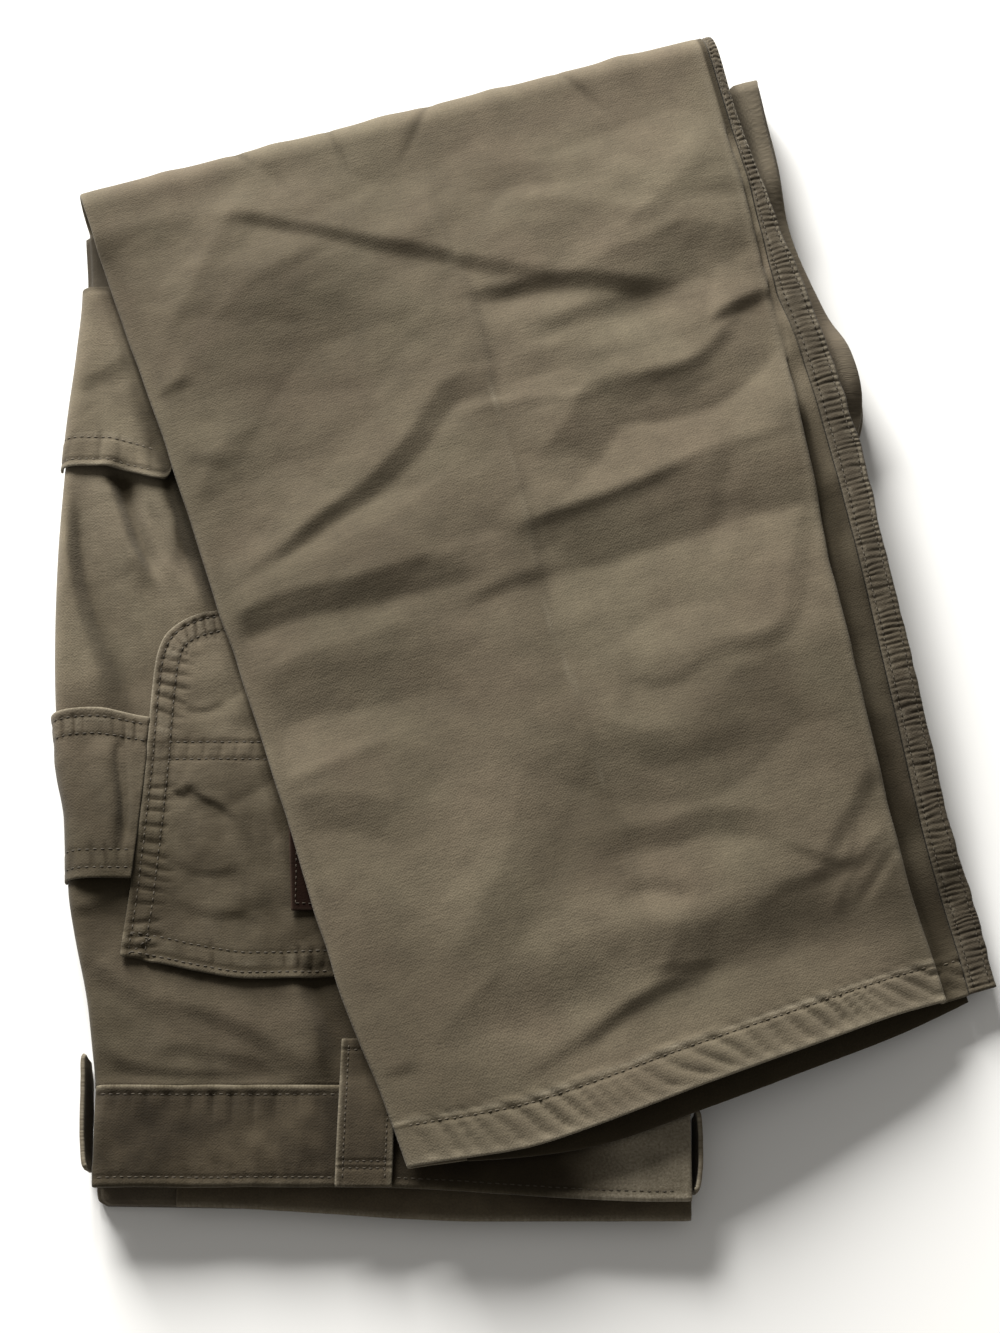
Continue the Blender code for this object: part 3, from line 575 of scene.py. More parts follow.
def leg_underside(along, across):
    """Height of the leg's lower face over everything that it lies on."""
    x, y = leg_to_body(along, across)
    left = leg_left(along)
    side = fall((across - left - 20.0) / SIDE_RAMP)
    height = LEG_REST - side * (LEG_REST - look_up(LEFT_REST, along))
    hem = fall((along - 42.0) / 34.0)
    height = np.minimum(height, LEG_REST - hem * (LEG_REST - look_up(HEM_REST, across)))
    over = smooth((x - look_up(BODY_RIGHT, y) - 4.0) / DROP_RUN)
    return height - over * DROP * height / LEG_REST


def tube_room(along, across):
    """Room between the leg's two walls, with space for the folds of the upper one."""
    left = leg_left(along)
    ridge = ridge_across(along)
    room = EDGE_ROOM + (TUBE_ROOM - EDGE_ROOM) * smooth((across - left) / 30.0)
    inner = smooth((across - left - 4.0) / 40.0) * smooth((ridge + 4.0 - across) / 30.0)
    inner = inner * smooth((FOLD_AT - along) / 60.0)
    roll = RIDGE_LIFT * smooth((across - ridge + 30.0) / 24.0)
    roll = roll * smooth((along - 10.0) / 50.0) * fall((along - 285.0) / 40.0)
    gape = HEM_GAPE * fall(along / 60.0) * smooth((across - 50.0) / 60.0)
    gape = gape * smooth((ridge - across + 10.0) / 40.0)
    far = smooth((along - FOLD_AT + 60.0) / 52.0)
    return (room + FOLD_SPACE * inner + roll + gape) * (1.0 - far) + FOLD_ROOM * far


def crumple(x, y, seed):
    """Faint flat facets and sharp small creases that run up to the right."""
    turn = math.radians(22.0)
    u = x * math.cos(turn) + y * math.sin(turn)
    v = y * math.cos(turn) - x * math.sin(turn)
    wide = np.abs(noise(u / 1.9, v, 27.0, seed))
    fine = np.abs(noise(u / 1.6, v, 12.0, seed + 1))
    return 0.75 * wide + 0.34 * fine - 0.4


def fold_relief(along, across):
    """Soft creases that run slantwise over the knee fold and fade out on the leg."""
    past = along - FOLD_AT
    lift = 0.25 * noise(across, along, 19.0, 191)
    for place, slant, width, height in FOLD_CREASES:
        uneven = 1.0 + 0.5 * noise(along, place, 16.0, 192)
        lift = lift + height * uneven * bell(across - place - slant * (past - FOLD_ARC / 2.0), width)
    return lift * smooth((past + 26.0) / 34.0) * smooth((FOLD_ARC - 8.0 - past) / 12.0)


def leg_relief(along, across):
    """All folds of the top leg together, fading towards its edges."""
    x, y = np.broadcast_arrays(*leg_to_body(along, across))
    lift = sum(crease_lift(crease, x, y) for crease in CREASES)
    calm = 0.45 + 0.55 * smooth((y + 30.0) / 70.0)
    lift = lift + 0.4 * noise(x, y, 52.0, 3) + calm * crumple(x, y, 7)
    sharp = 0.07 * noise(x, y, 6.5, 5)
    left = leg_left(along)
    ridge = ridge_across(along)
    inner = smooth((across - left + 2.0) / 8.0) * smooth((ridge + 5.0 - across) / 13.0)
    fade = inner * smooth((FOLD_AT - 2.0 - along) / 26.0)
    return lift * fade + fold_relief(along, across) * inner, sharp * fade


def station_along(distance, across, column):
    """Turn a distance from the hem into a place along the leg."""
    share = fall(distance / 70.0)
    return distance + look_up(HEM_LINE, across, column) * share


def hem_form(distance, across):
    """Doubled hem: its bulk, its stitched valley and the slanting puckers."""
    bulk = HEM_BULK * fall((distance - HEM_DEPTH) / 2.4)
    valley = -0.5 * bell(distance - HEM_DEPTH, 1.0)
    crest = 0.3 + 0.4 * noise(across, 0.0, 15.0, 13)
    crest = crest * bell(distance - HEM_DEPTH - 2.6, 1.6)
    phase = (across + 0.72 * distance) / 9.2 + 1.1 * noise(across, distance, 30.0, 11)
    depth = 0.8 + 0.6 * noise(across, 0.0, 21.0, 12)
    inside = smooth((distance - 0.5) / 4.0) * fall((distance - HEM_DEPTH + 2.0) / 9.0)
    return bulk + valley + crest - 1.1 * np.maximum(depth, 0.25) * rib(phase) ** 1.5 * inside


def leg_face(distance, across):
    """Height of the leg's upper face from its left edge to the inseam."""
    along = station_along(distance, across, 1)
    ridge = ridge_across(along)
    top_across = np.minimum(across, ridge - 3.0)
    room = tube_room(along, top_across)
    lift, sharp = leg_relief(along, top_across)
    least = LEAST_ROOM - room
    lift = least + np.logaddexp(0.0, (lift - least) * 3.0) / 3.0
    form = hem_form(distance, across)
    height = leg_underside(along, top_across) + 2.0 * WALL + room + lift + sharp
    flat = smooth((along - 260.0) / 50.0) * smooth((440.0 - along) / 30.0)
    shelf = leg_underside(along, across) + SHELF_BULK + 0.5 * flat
    shelf = shelf + (0.4 + 0.5 * flat) * noise(across, along, 11.0, 8)
    return height, shelf, form, ridge


# across from the ridge, share of the step: the plain step, then the rolled one
PLAIN_STEP = ((-3.0, 1.0), (-2.2, 0.97), (-1.2, 0.87), (-0.2, 0.68), (0.4, 0.5),
              (0.8, 0.33), (1.2, 0.18), (1.7, 0.07), (2.4, 0.0), (3.4, 0.0))
ROLLED_STEP = ((-3.0, 1.0), (-1.6, 0.98), (-0.3, 0.88), (0.5, 0.72), (0.7, 0.54),
               (0.3, 0.37), (-0.6, 0.22), (-1.0, 0.08), (-0.4, 0.0), (1.6, 0.0))


def leg_surface(across, distance):
    """Points of the leg's upper face and shelf, away from the rolled step."""
    height, shelf, form, ridge = leg_face(distance, across)
    z = np.where(across > ridge + 1.0, shelf, height) + form
    return over_fold(station_along(distance, across, 1), across, z)


def leg_rows():
    """Distances from the hem at which the leg's cloth has a row."""
    hem = np.arange(0.0, 24.0, 0.8)
    top = np.linspace(24.0, FOLD_AT, 225)
    arc = np.linspace(FOLD_AT, FOLD_AT + FOLD_ARC, 19)[1:]
    tuck = np.linspace(FOLD_AT + FOLD_ARC, FOLD_AT + FOLD_ARC + TUCK, 5)[1:]
    return np.concatenate([hem, top, arc, tuck])


def leg_grid():
    """The back panel's outer face, from the flap below to the end of the shelf."""
    rows = leg_rows()[:, None]
    along = station_along(rows, 0.0, 1)
    left = leg_left(along)
    bulk = HEM_BULK * fall((rows - HEM_DEPTH) / 2.4)
    across, height = [], []
    for reach in (FLAP_REACH, 20.0, 15.0, 10.0, 6.5, 4.0):
        across.append(left + reach)
        height.append(leg_underside(along, left + reach) - bulk * 0.3)
    depth = 2.0 * WALL + tube_room(along, left) + bulk * 1.3
    half = depth / 2.0
    low = leg_underside(along, left + half) - bulk * 0.3
    wobble = 0.5 * noise(along, 0.0, 18.0, 21) * smooth((along - 8.0) / 30.0)
    for angle in np.radians(np.linspace(-70.0, 62.0, 10)):
        across.append(left + wobble + half - half * np.cos(angle))
        height.append(low + half + half * np.sin(angle))
    ridge = ridge_across(station_along(rows, 250.0, 1))
    share = np.linspace(0.0, 1.0, 142)[None, :]
    top_across = (left + half + 1.2) * (1.0 - share) + (ridge - 4.6) * share
    high, _, form, _ = leg_face(rows, top_across)
    blend = smooth((top_across - left - half) / 9.0)
    top_height = (high + form) * blend + (low + depth - 0.1) * (1.0 - blend)
    step_across, step_height = ridge_step(rows, ridge)
    across = np.hstack(across + [top_across, step_across])
    height = np.hstack(height + [top_height, step_height])
    return over_fold(station_along(rows, across, 1), across, height), across


def ridge_step(rows, ridge):
    """The rolled step beside the inseam and the shelf that meets the seam."""
    along = station_along(rows, 250.0, 1)
    end = leg_outer(along) - strip_width(along) - SEAM_GAP
    top, _, form, _ = leg_face(rows, ridge - 3.0)
    foot = leg_face(rows, ridge + 1.6)[1]
    step = top - foot
    rolled = smooth((step - 2.0) / 1.4)
    across, height = [], []
    for (plain_x, plain_z), (rolled_x, rolled_z) in zip(PLAIN_STEP, ROLLED_STEP):
        offset = plain_x + (rolled_x - plain_x) * rolled
        share = plain_z + (rolled_z - plain_z) * rolled
        across.append(ridge + offset)
        height.append(foot + step * share + form)
    start = ridge + 3.6
    for share in (0.0, 0.25, 0.5, 0.75, 1.0):
        here = start + (end - start) * share
        _, shelf, shelf_form, _ = leg_face(rows, here)
        across.append(here)
        height.append(shelf + shelf_form * 0.8)
    return np.hstack(across), np.hstack(height)


def strip_width(along):
    """Width of the felled seam that shows beside the ridge."""
    return np.minimum(STRIP_WIDTH, leg_outer(along) - ridge_across(along) - 4.4)


def seat_relief(x, y):
    """Folds of the seat and thigh; none stands up under the leg."""
    x, y = np.broadcast_arrays(x, y)
    lift = sum(crease_lift(crease, x, y) for crease in SEAT_CREASES)
    lift = lift + 0.25 * noise(x, y, 34.0, 31) + 0.9 * crumple(x, y, 33)
    covered = under_leg(x, y, 7.0, 7.0)
    near_band = smooth((y - WAIST_SEAM_Y) / 5.0)
    lift = np.maximum(lift, -2.6) * near_band - 2.0 * smooth((y - SEAT_END + 6.0) / 8.0)
    return lift - covered * (np.maximum(lift, 0.0) + 0.1)


def place_on_body(reach, y, lift):
    """Points of cloth on the body, from the curl at its left side inwards."""
    left = look_up(BODY_LEFT, y)
    flat = reach > CURL_REACH
    inset = np.where(flat, reach - CURL_REACH + CURL_INSET, look_up(CURL_RUN, reach, 1))
    height = np.where(flat, SEAT_TOP, look_up(CURL_RUN, reach, 2))
    turn = smooth(reach / 12.0)
    x = left + inset - lift * (1.0 - turn)
    z = height + turn * (lift + seat_relief(left + inset, y))
    return points_of(x, y, z)


def reach_at(x, y):
    """Turn a place on the flat of the body into a reach from the curl."""
    return x - look_up(BODY_LEFT, y) - CURL_INSET + CURL_REACH


def x_at(reach, y):
    """Turn a reach from the curl into a place on the flat of the body."""
    return look_up(BODY_LEFT, y) + reach - CURL_REACH + CURL_INSET


# rows of thread from the edge, spacing of the rungs, seed, their reach past the last row
POCKET_SEAM = ((2.7, 9.8), 5.6, 41, 7.0)
MOUTH_SEAM = ((4.0, 11.2), 6.4, 43, 3.0)
LOOP_SEAM_LOW = ((4.4, 12.6), 7.0, 51, 5.0)
LOOP_SEAM_HIGH = ((3.6, 11.6), 5.2, 53, 5.0)
TOOL_SEAM = ((3.0, TOOL_HEM), 9.0, 61, 5.0)


def seam_rungs(far, run, seam):
    """Depth of the rungs that the thread pulls in across a doubled edge.

    far is the distance from the edge and run the place along it.
    """
    rows, wave, seed, spill = seam
    rung = rib(run / wave + 0.8 * noise(run, 0.6 * far, wave * 3.1, seed))
    depth = 0.75 + 0.8 * noise(run, 0.0, wave * 2.3, seed + 1)
    reach = spill * (1.0 + 0.6 * noise(run, 0.0, wave * 1.7, seed + 2))
    inside = smooth((far - rows[0] + 2.0) / 2.0) * fall((far - rows[-1]) / reach)
    return np.maximum(depth, 0.0) * rung ** 2.5 * inside


def seam_form(far, run, seam, pucker):
    """Doubled edge with stitched valleys and pulled rungs."""
    rows = seam[0]
    bulk = 0.35 * fall((far - rows[-1]) / 1.6)
    valley = sum(-0.42 * bell(far - row, 0.85) for row in rows)
    return bulk + valley - pucker * seam_rungs(far, run, seam)


def seam_shade(far, run, seam):
    """Painted shade in the stitched valleys and the rungs of a doubled edge."""
    valley = sum(bell(far - row, 0.8) for row in seam[0])
    return 0.45 * valley + 0.4 * seam_rungs(far, run, seam)


def seam_wear_and_highlight(far, run, seam):
    """Rubbed pads between the rungs of a doubled edge, lighter by wear and by painted highlight."""
    rows = seam[0]
    inside = smooth((far - rows[0]) / 1.2) * fall((far - rows[-1] + 0.6) / 1.2)
    pad = np.clip(1.0 - 3.0 * seam_rungs(far, run, seam), 0.0, 1.0)
    return 0.3 * inside * pad * (0.6 + 0.8 * noise(run, far, 6.0, seam[2] + 3))


def pocket_edge():
    """Line along the pocket's side and its rounded corner."""
    y = np.linspace(POCKET_SIDE[0][0] + 4.0, POCKET_TOP_Y, POCKET_EDGE_POINTS)
    line = points_of(look_up(POCKET_SIDE, y), y)
    return np.vstack([line, [[-104.0, 30.5], [-80.0, 32.0]]])


def pocket_side(x, y):
    """Distance from the pocket's side and rounded corner, and the place along them."""
    far, run = line_distance(pocket_edge(), x, y)
    return np.abs(far), run * POCKET_EDGE_LENGTH


def pocket_surface(x, y):
    """Points of the back pocket over the seat."""
    far, run = pocket_side(x, y)
    mouth = y - look_up(POCKET_MOUTH, x)
    gape = look_up(POCKET_MOUTH, x, 2) * fall(mouth / 46.0)
    side = seam_form(far, run, POCKET_SEAM, 1.35)
    hem = seam_form(mouth, x, MOUTH_SEAM, 1.0)
    hem = hem - 0.35 * bell(mouth - POCKET_MOUTH_ROW, 0.8)
    rung = rib(x / 6.8 + 0.4 * noise(x, 0.0, 17.0, 47))
    band = -0.4 * sum(bell(y - row, 0.8) for row in POCKET_BAND_ROWS)
    band = (band - 0.6 * rung ** 2 * bell(y + 38.8, 4.0)) * smooth((x + 149.0) / 3.0)
    x, y = np.broadcast_arrays(x, y)
    folds = sum(crease_lift(crease, x, y) for crease in POCKET_CREASES)
    inner = smooth((far - 9.0) / 6.0) * smooth((mouth - 10.0) / 6.0)
    folds = (folds + 0.25 * noise(x, y, 11.0, 45) + 0.5 * crumple(x, y, 46)) * inner
    lift = GAP + WALL + 0.35 + np.minimum(side, hem) * 0.5 + (side + hem) * 0.5 + band + folds + gape
    covered = under_leg(x, y, 5.0, 6.0)
    lift = lift + covered * (np.minimum(lift, GAP + WALL + 0.5) - lift)
    z = SEAT_TOP + seat_relief(x, y) + np.maximum(lift, GAP + WALL * 0.9)
    return points_of(x, y, z)


def pocket_grid():
    """Rows follow the pocket's side, so its round corner stays round."""
    line = pocket_edge()[:POCKET_EDGE_POINTS]
    length = np.concatenate([[0.0], np.cumsum(np.hypot(*np.diff(line, axis=0).T))])
    even = np.linspace(0.0, length[-1], 172)
    share = np.interp(even, length, line[:, 1])
    share = (share - share[0]) / (share[-1] - share[0])
    y_guess = POCKET_MOUTH_Y + (POCKET_TOP_Y - POCKET_MOUTH_Y) * share
    left = look_up(POCKET_SIDE, y_guess)[:, None]
    right = leg_edge_x(y_guess)[:, None] + UNDER_EDGE
    x = left + (right - left) * np.linspace(0.0, 1.0, 92)[None, :]
    mouth = look_up(POCKET_MOUTH, x)
    y = mouth + (POCKET_TOP_Y - mouth) * share[:, None]
    return pocket_surface(x, y), x, y


# ends in x and ends in y of the rows of thread at the corner of the pocket's mouth
POCKET_CORNER_ROWS = (((-160.5, -151.0), (-122.0, -125.0)), ((-161.0, -150.0), (-132.0, -124.0)))

# y of the hammer loop's open lower edge and of its upper edge
LOOP_LOW = -97.5
LOOP_HIGH = -21.5


def loop_top(reach):
    """Upper edge of the hammer loop, slightly bowed."""
    bow = 2.2 * np.sin(math.pi * np.clip(reach / 46.0, 0.0, 1.0))
    return LOOP_HIGH + bow - 1.8 * smooth((reach - 20.0) / 28.0)


def loop_surface(reach, y):
    """Points of the hammer loop over the curl and the seat."""
    low = seam_form(y - LOOP_LOW, reach, LOOP_SEAM_LOW, 0.9)
    high = seam_form(loop_top(reach) - y, reach, LOOP_SEAM_HIGH, 1.1)
    wrinkle = -2.6 * bell(reach - 31.5 - 0.06 * (y + 60.0), 2.6)
    wrinkle = wrinkle + 1.5 * bell(reach - 25.0, 5.0) + 0.8 * crumple(1.4 * reach, y, 55)
    middle = smooth((y + 92.0) / 22.0) * smooth((-30.0 - y) / 14.0)
    gape = 1.9 * fall((y - LOOP_LOW) / 34.0) * smooth((reach - 4.0) / 16.0)
    gape = gape * fall((reach - 34.0) / 12.0)
    lift = GAP + WALL + 0.9 + (wrinkle + 0.3) * middle + 0.5 * (low + high) + gape
    lift = lift - 1.2 * fall(reach / 12.0) * smooth((-50.0 - y) / 20.0)
    return place_on_body(reach, y, np.maximum(lift, GAP + WALL * 0.9))


def loop_grid():
    """Rows across the hammer loop from its open lower edge to its upper edge."""
    share = np.linspace(0.0, 1.0, 86)[:, None]
    column = np.linspace(0.0, 1.0, 56)[None, :]
    y_guess = LOOP_LOW + (LOOP_HIGH - LOOP_LOW) * share
    end = reach_at(look_up(POCKET_SIDE, y_guess) - 0.7, y_guess)
    reach = end * column
    y = LOOP_LOW + (loop_top(reach) - LOOP_LOW) * share
    return loop_surface(reach, y), reach, y


def tool_surface(reach, y):
    """Points of the tool pocket; its mouth hem faces the waist."""
    x = x_at(reach, y)
    mouth = y - look_up(TOOL_MOUTH, x)
    gape = look_up(TOOL_MOUTH, x, 2) * fall(mouth / 30.0)
    hem = seam_form(mouth, reach, TOOL_SEAM, 0.6)
    lift = GAP + WALL + 0.4 + hem + gape + 0.2 * noise(x, y, 16.0, 63) * smooth((mouth - 14.0) / 8.0)
    covered = under_leg(x, y, 5.0, 6.0)
    lift = lift + covered * (np.minimum(lift, GAP + WALL + 0.3) - lift)
    return place_on_body(reach, y, np.maximum(lift, GAP + WALL * 0.9))


def tool_grid():
    """Rows of the tool pocket from its mouth to the knee fold."""
    share = np.linspace(0.0, 1.0, 88)[:, None]
    column = np.linspace(0.0, 1.0, 74)[None, :]
    y_guess = TOOL_MOUTH_Y + (SEAT_END - 0.5 - TOOL_MOUTH_Y) * share
    reach = reach_at(leg_edge_x(y_guess) + UNDER_EDGE, y_guess) * column
    x = x_at(reach, y_guess)
    mouth = look_up(TOOL_MOUTH, x)
    y = mouth + (SEAT_END - 0.5 - mouth) * share
    return tool_surface(reach, y), reach, y


def seat_grid():
    """Rows of the seat panel from the waist seam to the knee fold."""
    y = np.linspace(WAIST_SEAM_Y + 0.6, SEAT_END, 226)[:, None]
    column = np.linspace(0.0, 1.0, 78)[None, :]
    reach = reach_at(leg_edge_x(y) + UNDER_EDGE + 2.0, y) * column
    return place_on_body(reach, y, 0.0), reach, np.broadcast_to(y, reach.shape)


def waist_edge(x):
    """Outer edge of the waistband."""
    return -231.0 - 6.0 * smooth((x + 60.0) / 130.0)


def band_rungs(x, high):
    """Depth of the puckers below the waist seam, some of them long."""
    rung = rib(x / 8.4 + 0.8 * noise(x, 0.0, 30.0, 71))
    depth = 0.85 + 0.7 * noise(x, 0.0, 24.0, 72)
    reach = 16.0 + 9.0 * noise(x, 0.0, 13.0, 76)
    return depth * rung ** 2 * smooth((high - 1.5) / 2.0) * fall((high - 4.0) / reach)


def band_surface(x, y):
    """Upper face of the waistband with its two stitched edges."""
    low = y - waist_edge(x)
    high = WAIST_SEAM_Y - y
    form = -0.45 * bell(high - BAND_ROWS[1], 0.8) - 0.4 * bell(low - BAND_ROWS[0], 0.8)
    form = form - band_rungs(x, high)
    tilted = rib(x / 6.2 + y / 21.0 + 0.6 * noise(x, 0.0, 26.0, 73))
    form = form - 0.65 * tilted ** 2 * smooth((low - 1.0) / 2.0) * fall((low - 4.0) / 9.0)
    form = form + 0.45 * noise(x, y, 17.0, 74) + 0.35 * noise(x + 0.6 * y, 0.3 * y, 11.0, 75)
    covered = under_leg(x, y, 6.0, 8.0)
    under_loop = np.exp(-((x + 57.0) / 15.0) ** 4)
    form = form * (1.0 - np.maximum(covered * 0.6, under_loop * 0.8))
    form = form - 0.3 * np.maximum(covered, under_loop)
    face = WAIST_TOP + GAP + BAND_WALL + 0.1
    return points_of(x, y, face + np.clip(form, -1.5, 0.9))


def band_grid():
    """Grid of the waistband; its left end is rolled down a little."""
    x = np.linspace(*BAND_ENDS, 190)[None, :]
    share = np.linspace(0.0, 1.0, 40)[:, None]
    y = waist_edge(x) + share * (WAIST_SEAM_Y - waist_edge(x))
    grid = band_surface(x, y)
    grid[..., 2] -= 1.1 * fall((x - BAND_ENDS[0]) / 3.0)
    return grid, np.broadcast_to(x, y.shape), y


def front_edge(x):
    """Outer edge of the band on the layers below."""
    return -238.0 - 6.0 * smooth((x - FRONT_BAND_START) / 130.0)


def front_band_grid():
    """Edge of the band on the layers below, a little further out."""
    x = np.linspace(FRONT_BAND_START, BAND_ENDS[1], 130)[None, :]
    share = np.linspace(0.0, 1.0, 9)[:, None]
    inner = -226.7 - 3.0 * (x + 171.0) / 252.0
    outer = front_edge(x)
    y = outer + share * (inner - outer)
    z = LEDGE_TOP + GAP + BAND_WALL + 0.3 * noise(x, y, 14.0, 81)
    return points_of(x, y, z), np.broadcast_to(x, y.shape), y


def unit(vectors):
    """Scale vectors to length 1."""
    return vectors / np.maximum(np.linalg.norm(vectors, axis=-1, keepdims=True), 1e-9)


def grid_normals(grid):
    """Unit normals of a grid, up where columns run to +X and rows to +Y."""
    return unit(np.cross(np.gradient(grid, axis=1), np.gradient(grid, axis=0)))


def rim_indices(rows, columns):
    """Indices round a grid's rim, anticlockwise from above."""
    grid = np.arange(rows * columns).reshape(rows, columns)
    return np.concatenate([grid[0, :-1], grid[:-1, -1], grid[-1, :0:-1], grid[:0:-1, 0]])


def rim_outward(grid):
    """Directions that lead out of a grid at each place of its rim."""
    out = np.zeros_like(grid)
    out[0] += unit(grid[0] - grid[1])
    out[-1] += unit(grid[-1] - grid[-2])
    out[:, 0] += unit(grid[:, 0] - grid[:, 1])
    out[:, -1] += unit(grid[:, -1] - grid[:, -2])
    return unit(out)


def grid_quads(rows, columns, first=0):
    """Quads of a grid, facing up where rows run to +Y and columns to +X."""
    a = (np.arange(rows - 1)[:, None] * columns + np.arange(columns - 1)[None, :]).ravel() + first
    return np.stack([a, a + 1, a + columns + 1, a + columns], axis=-1)


def ring_quads(rings, sides):
    """Quads that join each ring of points to the next one."""
    here = np.arange((rings - 1) * sides).reshape(-1, sides)
    beside = np.roll(here, -1, axis=1)
    return np.stack([here, beside, beside + sides, here + sides], axis=-1).reshape(-1, 4)


def make_piece(name, points, faces, material, cloth, wear_and_highlight=0.0, shade=0.0):
    """Make a shown mesh with its cloth coordinates, its marks of wear and painted highlight, and its
    painted shade.
    """
    mesh = bpy.data.meshes.new(name)
    mesh.from_pydata(((points - CENTRE) * MM).tolist(), [], faces)
    mesh.validate()
    mesh.polygons.foreach_set("use_smooth", [True] * len(mesh.polygons))
    corners = np.zeros(len(mesh.loops), np.int32)
    mesh.loops.foreach_get("vertex_index", corners)
    layer = mesh.uv_layers.new(name="cloth")
    layer.data.foreach_set("uv", (cloth[corners] * MM).astype(np.float32).ravel())
    for mark, values in (("wear_and_highlight", wear_and_highlight), ("shade", shade)):
        attribute = mesh.attributes.new(mark, "FLOAT", "POINT")
        attribute.data.foreach_set("value", (values + np.zeros(len(points))).astype(np.float32))
    mesh.materials.append(material)
    piece = bpy.data.objects.new(name, mesh)
    bpy.context.scene.collection.objects.link(piece)
    return piece


def slab(name, grid, wall, material, wear_and_highlight=0.0, shade=0.0, cloth=None, inside=0.0):
    """A piece of cloth with round rims: its outer face as a grid, its wall behind it."""
    rows, columns = grid.shape[:2]
    normal = grid_normals(grid)
    flat = grid.reshape(-1, 3)
    inner = (grid - normal * wall).reshape(-1, 3)
    rim = rim_indices(rows, columns)
    rim_normal = normal.reshape(-1, 3)[rim]
    out = rim_outward(grid).reshape(-1, 3)[rim]
    near = flat[rim] - rim_normal * wall * 0.24 + out * wall * 0.26
    far = flat[rim] - rim_normal * wall * 0.76 + out * wall * 0.26
    count, size = len(flat), len(rim)
    points = np.vstack([flat, inner, near, far])
    loops = [rim, 2 * count + np.arange(size), 2 * count + size + np.arange(size), count + rim]
    quads = [grid_quads(rows, columns), grid_quads(rows, columns, count)[:, ::-1]]
    for upper, lower in zip(loops[:-1], loops[1:]):
        quads.append(np.stack([upper, lower, np.roll(lower, -1), np.roll(upper, -1)], axis=-1))

    def spread(values):
        values = np.broadcast_to(np.clip(values, 0.0, 1.0), grid.shape[:2]).ravel()
        return np.concatenate([values, values * inside, values[rim], values[rim] * (0.5 + 0.5 * inside)])

    cloth = grid[..., :2] if cloth is None else cloth
    cloth = cloth.reshape(-1, 2)
    cloth = np.vstack([cloth, cloth, cloth[rim], cloth[rim]])
    return make_piece(name, points, np.vstack(quads).tolist(), material, cloth, spread(wear_and_highlight), spread(shade))


def loft(name, rings, material, shade, wear_and_highlight=0.0):
    """A closed body through rings of equal length, with flat ends."""
    count, size = rings.shape[:2]
    points = rings.reshape(-1, 3)
    faces = ring_quads(count, size).tolist()
    faces.append(list(range(size))[::-1])
    faces.append(list(range((count - 1) * size, count * size)))
    run = np.linalg.norm(np.diff(rings, axis=1, append=rings[:, :1]), axis=-1).cumsum(axis=1)
    cloth = points_of(run, rings[:, :1, 1]).reshape(-1, 2)
    return make_piece(name, points, faces, material, cloth, wear_and_highlight, shade)


def trace(surface, u, v):
    """Points and normals along a line on a surface of two parameters."""
    u, v = np.broadcast_arrays(np.asarray(u, float), np.asarray(v, float))
    step = 0.5
    points = surface(u, v)
    across = surface(u + step, v) - surface(u - step, v)
    ahead = surface(u, v + step) - surface(u, v - step)
    return points, unit(np.cross(across, ahead))


def sew(name, runs, material, pitch=STITCH_PITCH, width=THREAD_WIDTH, slot="seam_canvas"):
    """Rows of thread as short raised stitches whose ends dip into the cloth."""
    random = np.random.default_rng(len(name))
    rings, sides = 5, 6
    turn = np.linspace(0.0, 2.0 * math.pi, sides, endpoint=False)
    rise = np.array([-0.3, 0.1, 0.2, 0.1, -0.3])
    swell = np.array([0.5, 1.0, 1.05, 1.0, 0.5])
    made = []
    for points, normals in runs:
        length = np.concatenate([[0.0], np.linalg.norm(np.diff(points, axis=0), axis=-1).cumsum()])
        count = int(length[-1] // pitch)
        middle = (np.arange(count) + 0.5) * length[-1] / count
        middle = middle + random.uniform(-0.12, 0.12, count)
        long = pitch * (STITCH_SHARE + random.uniform(-0.06, 0.06, count))
        at = middle[:, None] + long[:, None] * np.linspace(-0.5, 0.5, rings)[None, :]
        centre = np.stack([np.interp(at, length, points[:, i]) for i in range(3)], axis=-1)
        up = unit(np.stack([np.interp(at, length, normals[:, i]) for i in range(3)], axis=-1))
        ahead = unit(np.gradient(centre, axis=1))
        side = unit(np.cross(ahead, up))
        centre = centre + up * rise[None, :, None]
        centre = centre + side * random.uniform(-0.1, 0.1, count)[:, None, None]
        ring = (side[:, :, None] * (np.cos(turn) * width)[None, None, :, None]
                + up[:, :, None] * (np.sin(turn) * THREAD_HEIGHT)[None, None, :, None])
        made.append(centre[:, :, None] + ring * swell[None, :, None, None])
    made = np.concatenate(made)
    starts = np.arange(len(made)) * rings * sides
    stitch = ring_quads(rings, sides)[:, [0, 3, 2, 1]]
    quads = (starts[:, None, None] + stitch).reshape(-1, 4).tolist()
    caps = (starts[:, None] + np.arange(sides)).tolist()
    caps += (starts[:, None] + np.arange(rings * sides)[:-1 - sides:-1]).tolist()
    run = np.tile(np.repeat(np.linspace(0.0, pitch, rings), sides), len(made))
    cloth = points_of(run, np.tile(turn, len(made) * rings))
    piece = make_piece(name, made.reshape(-1, 3), quads + caps, material, cloth)
    finish_piece(piece, slot)
    return piece


def add(tree, kind, **values):
    """Add a node and set its fields or sockets."""
    node = tree.nodes.new(kind)
    for key, value in values.items():
        if hasattr(node, key):
            setattr(node, key, value)
        else:
            node.inputs[key.replace("_", " ")].default_value = value
    return node


def math_node(tree, operation, first, second=None):
    """A Math node whose inputs are links or numbers."""
    node = add(tree, "ShaderNodeMath", operation=operation)
    for index, value in enumerate((first, second)):
        if value is None:
            continue
        if isinstance(value, (int, float)):
            node.inputs[index].default_value = value
        else:
            tree.links.new(value, node.inputs[index])
    return node.outputs[0]


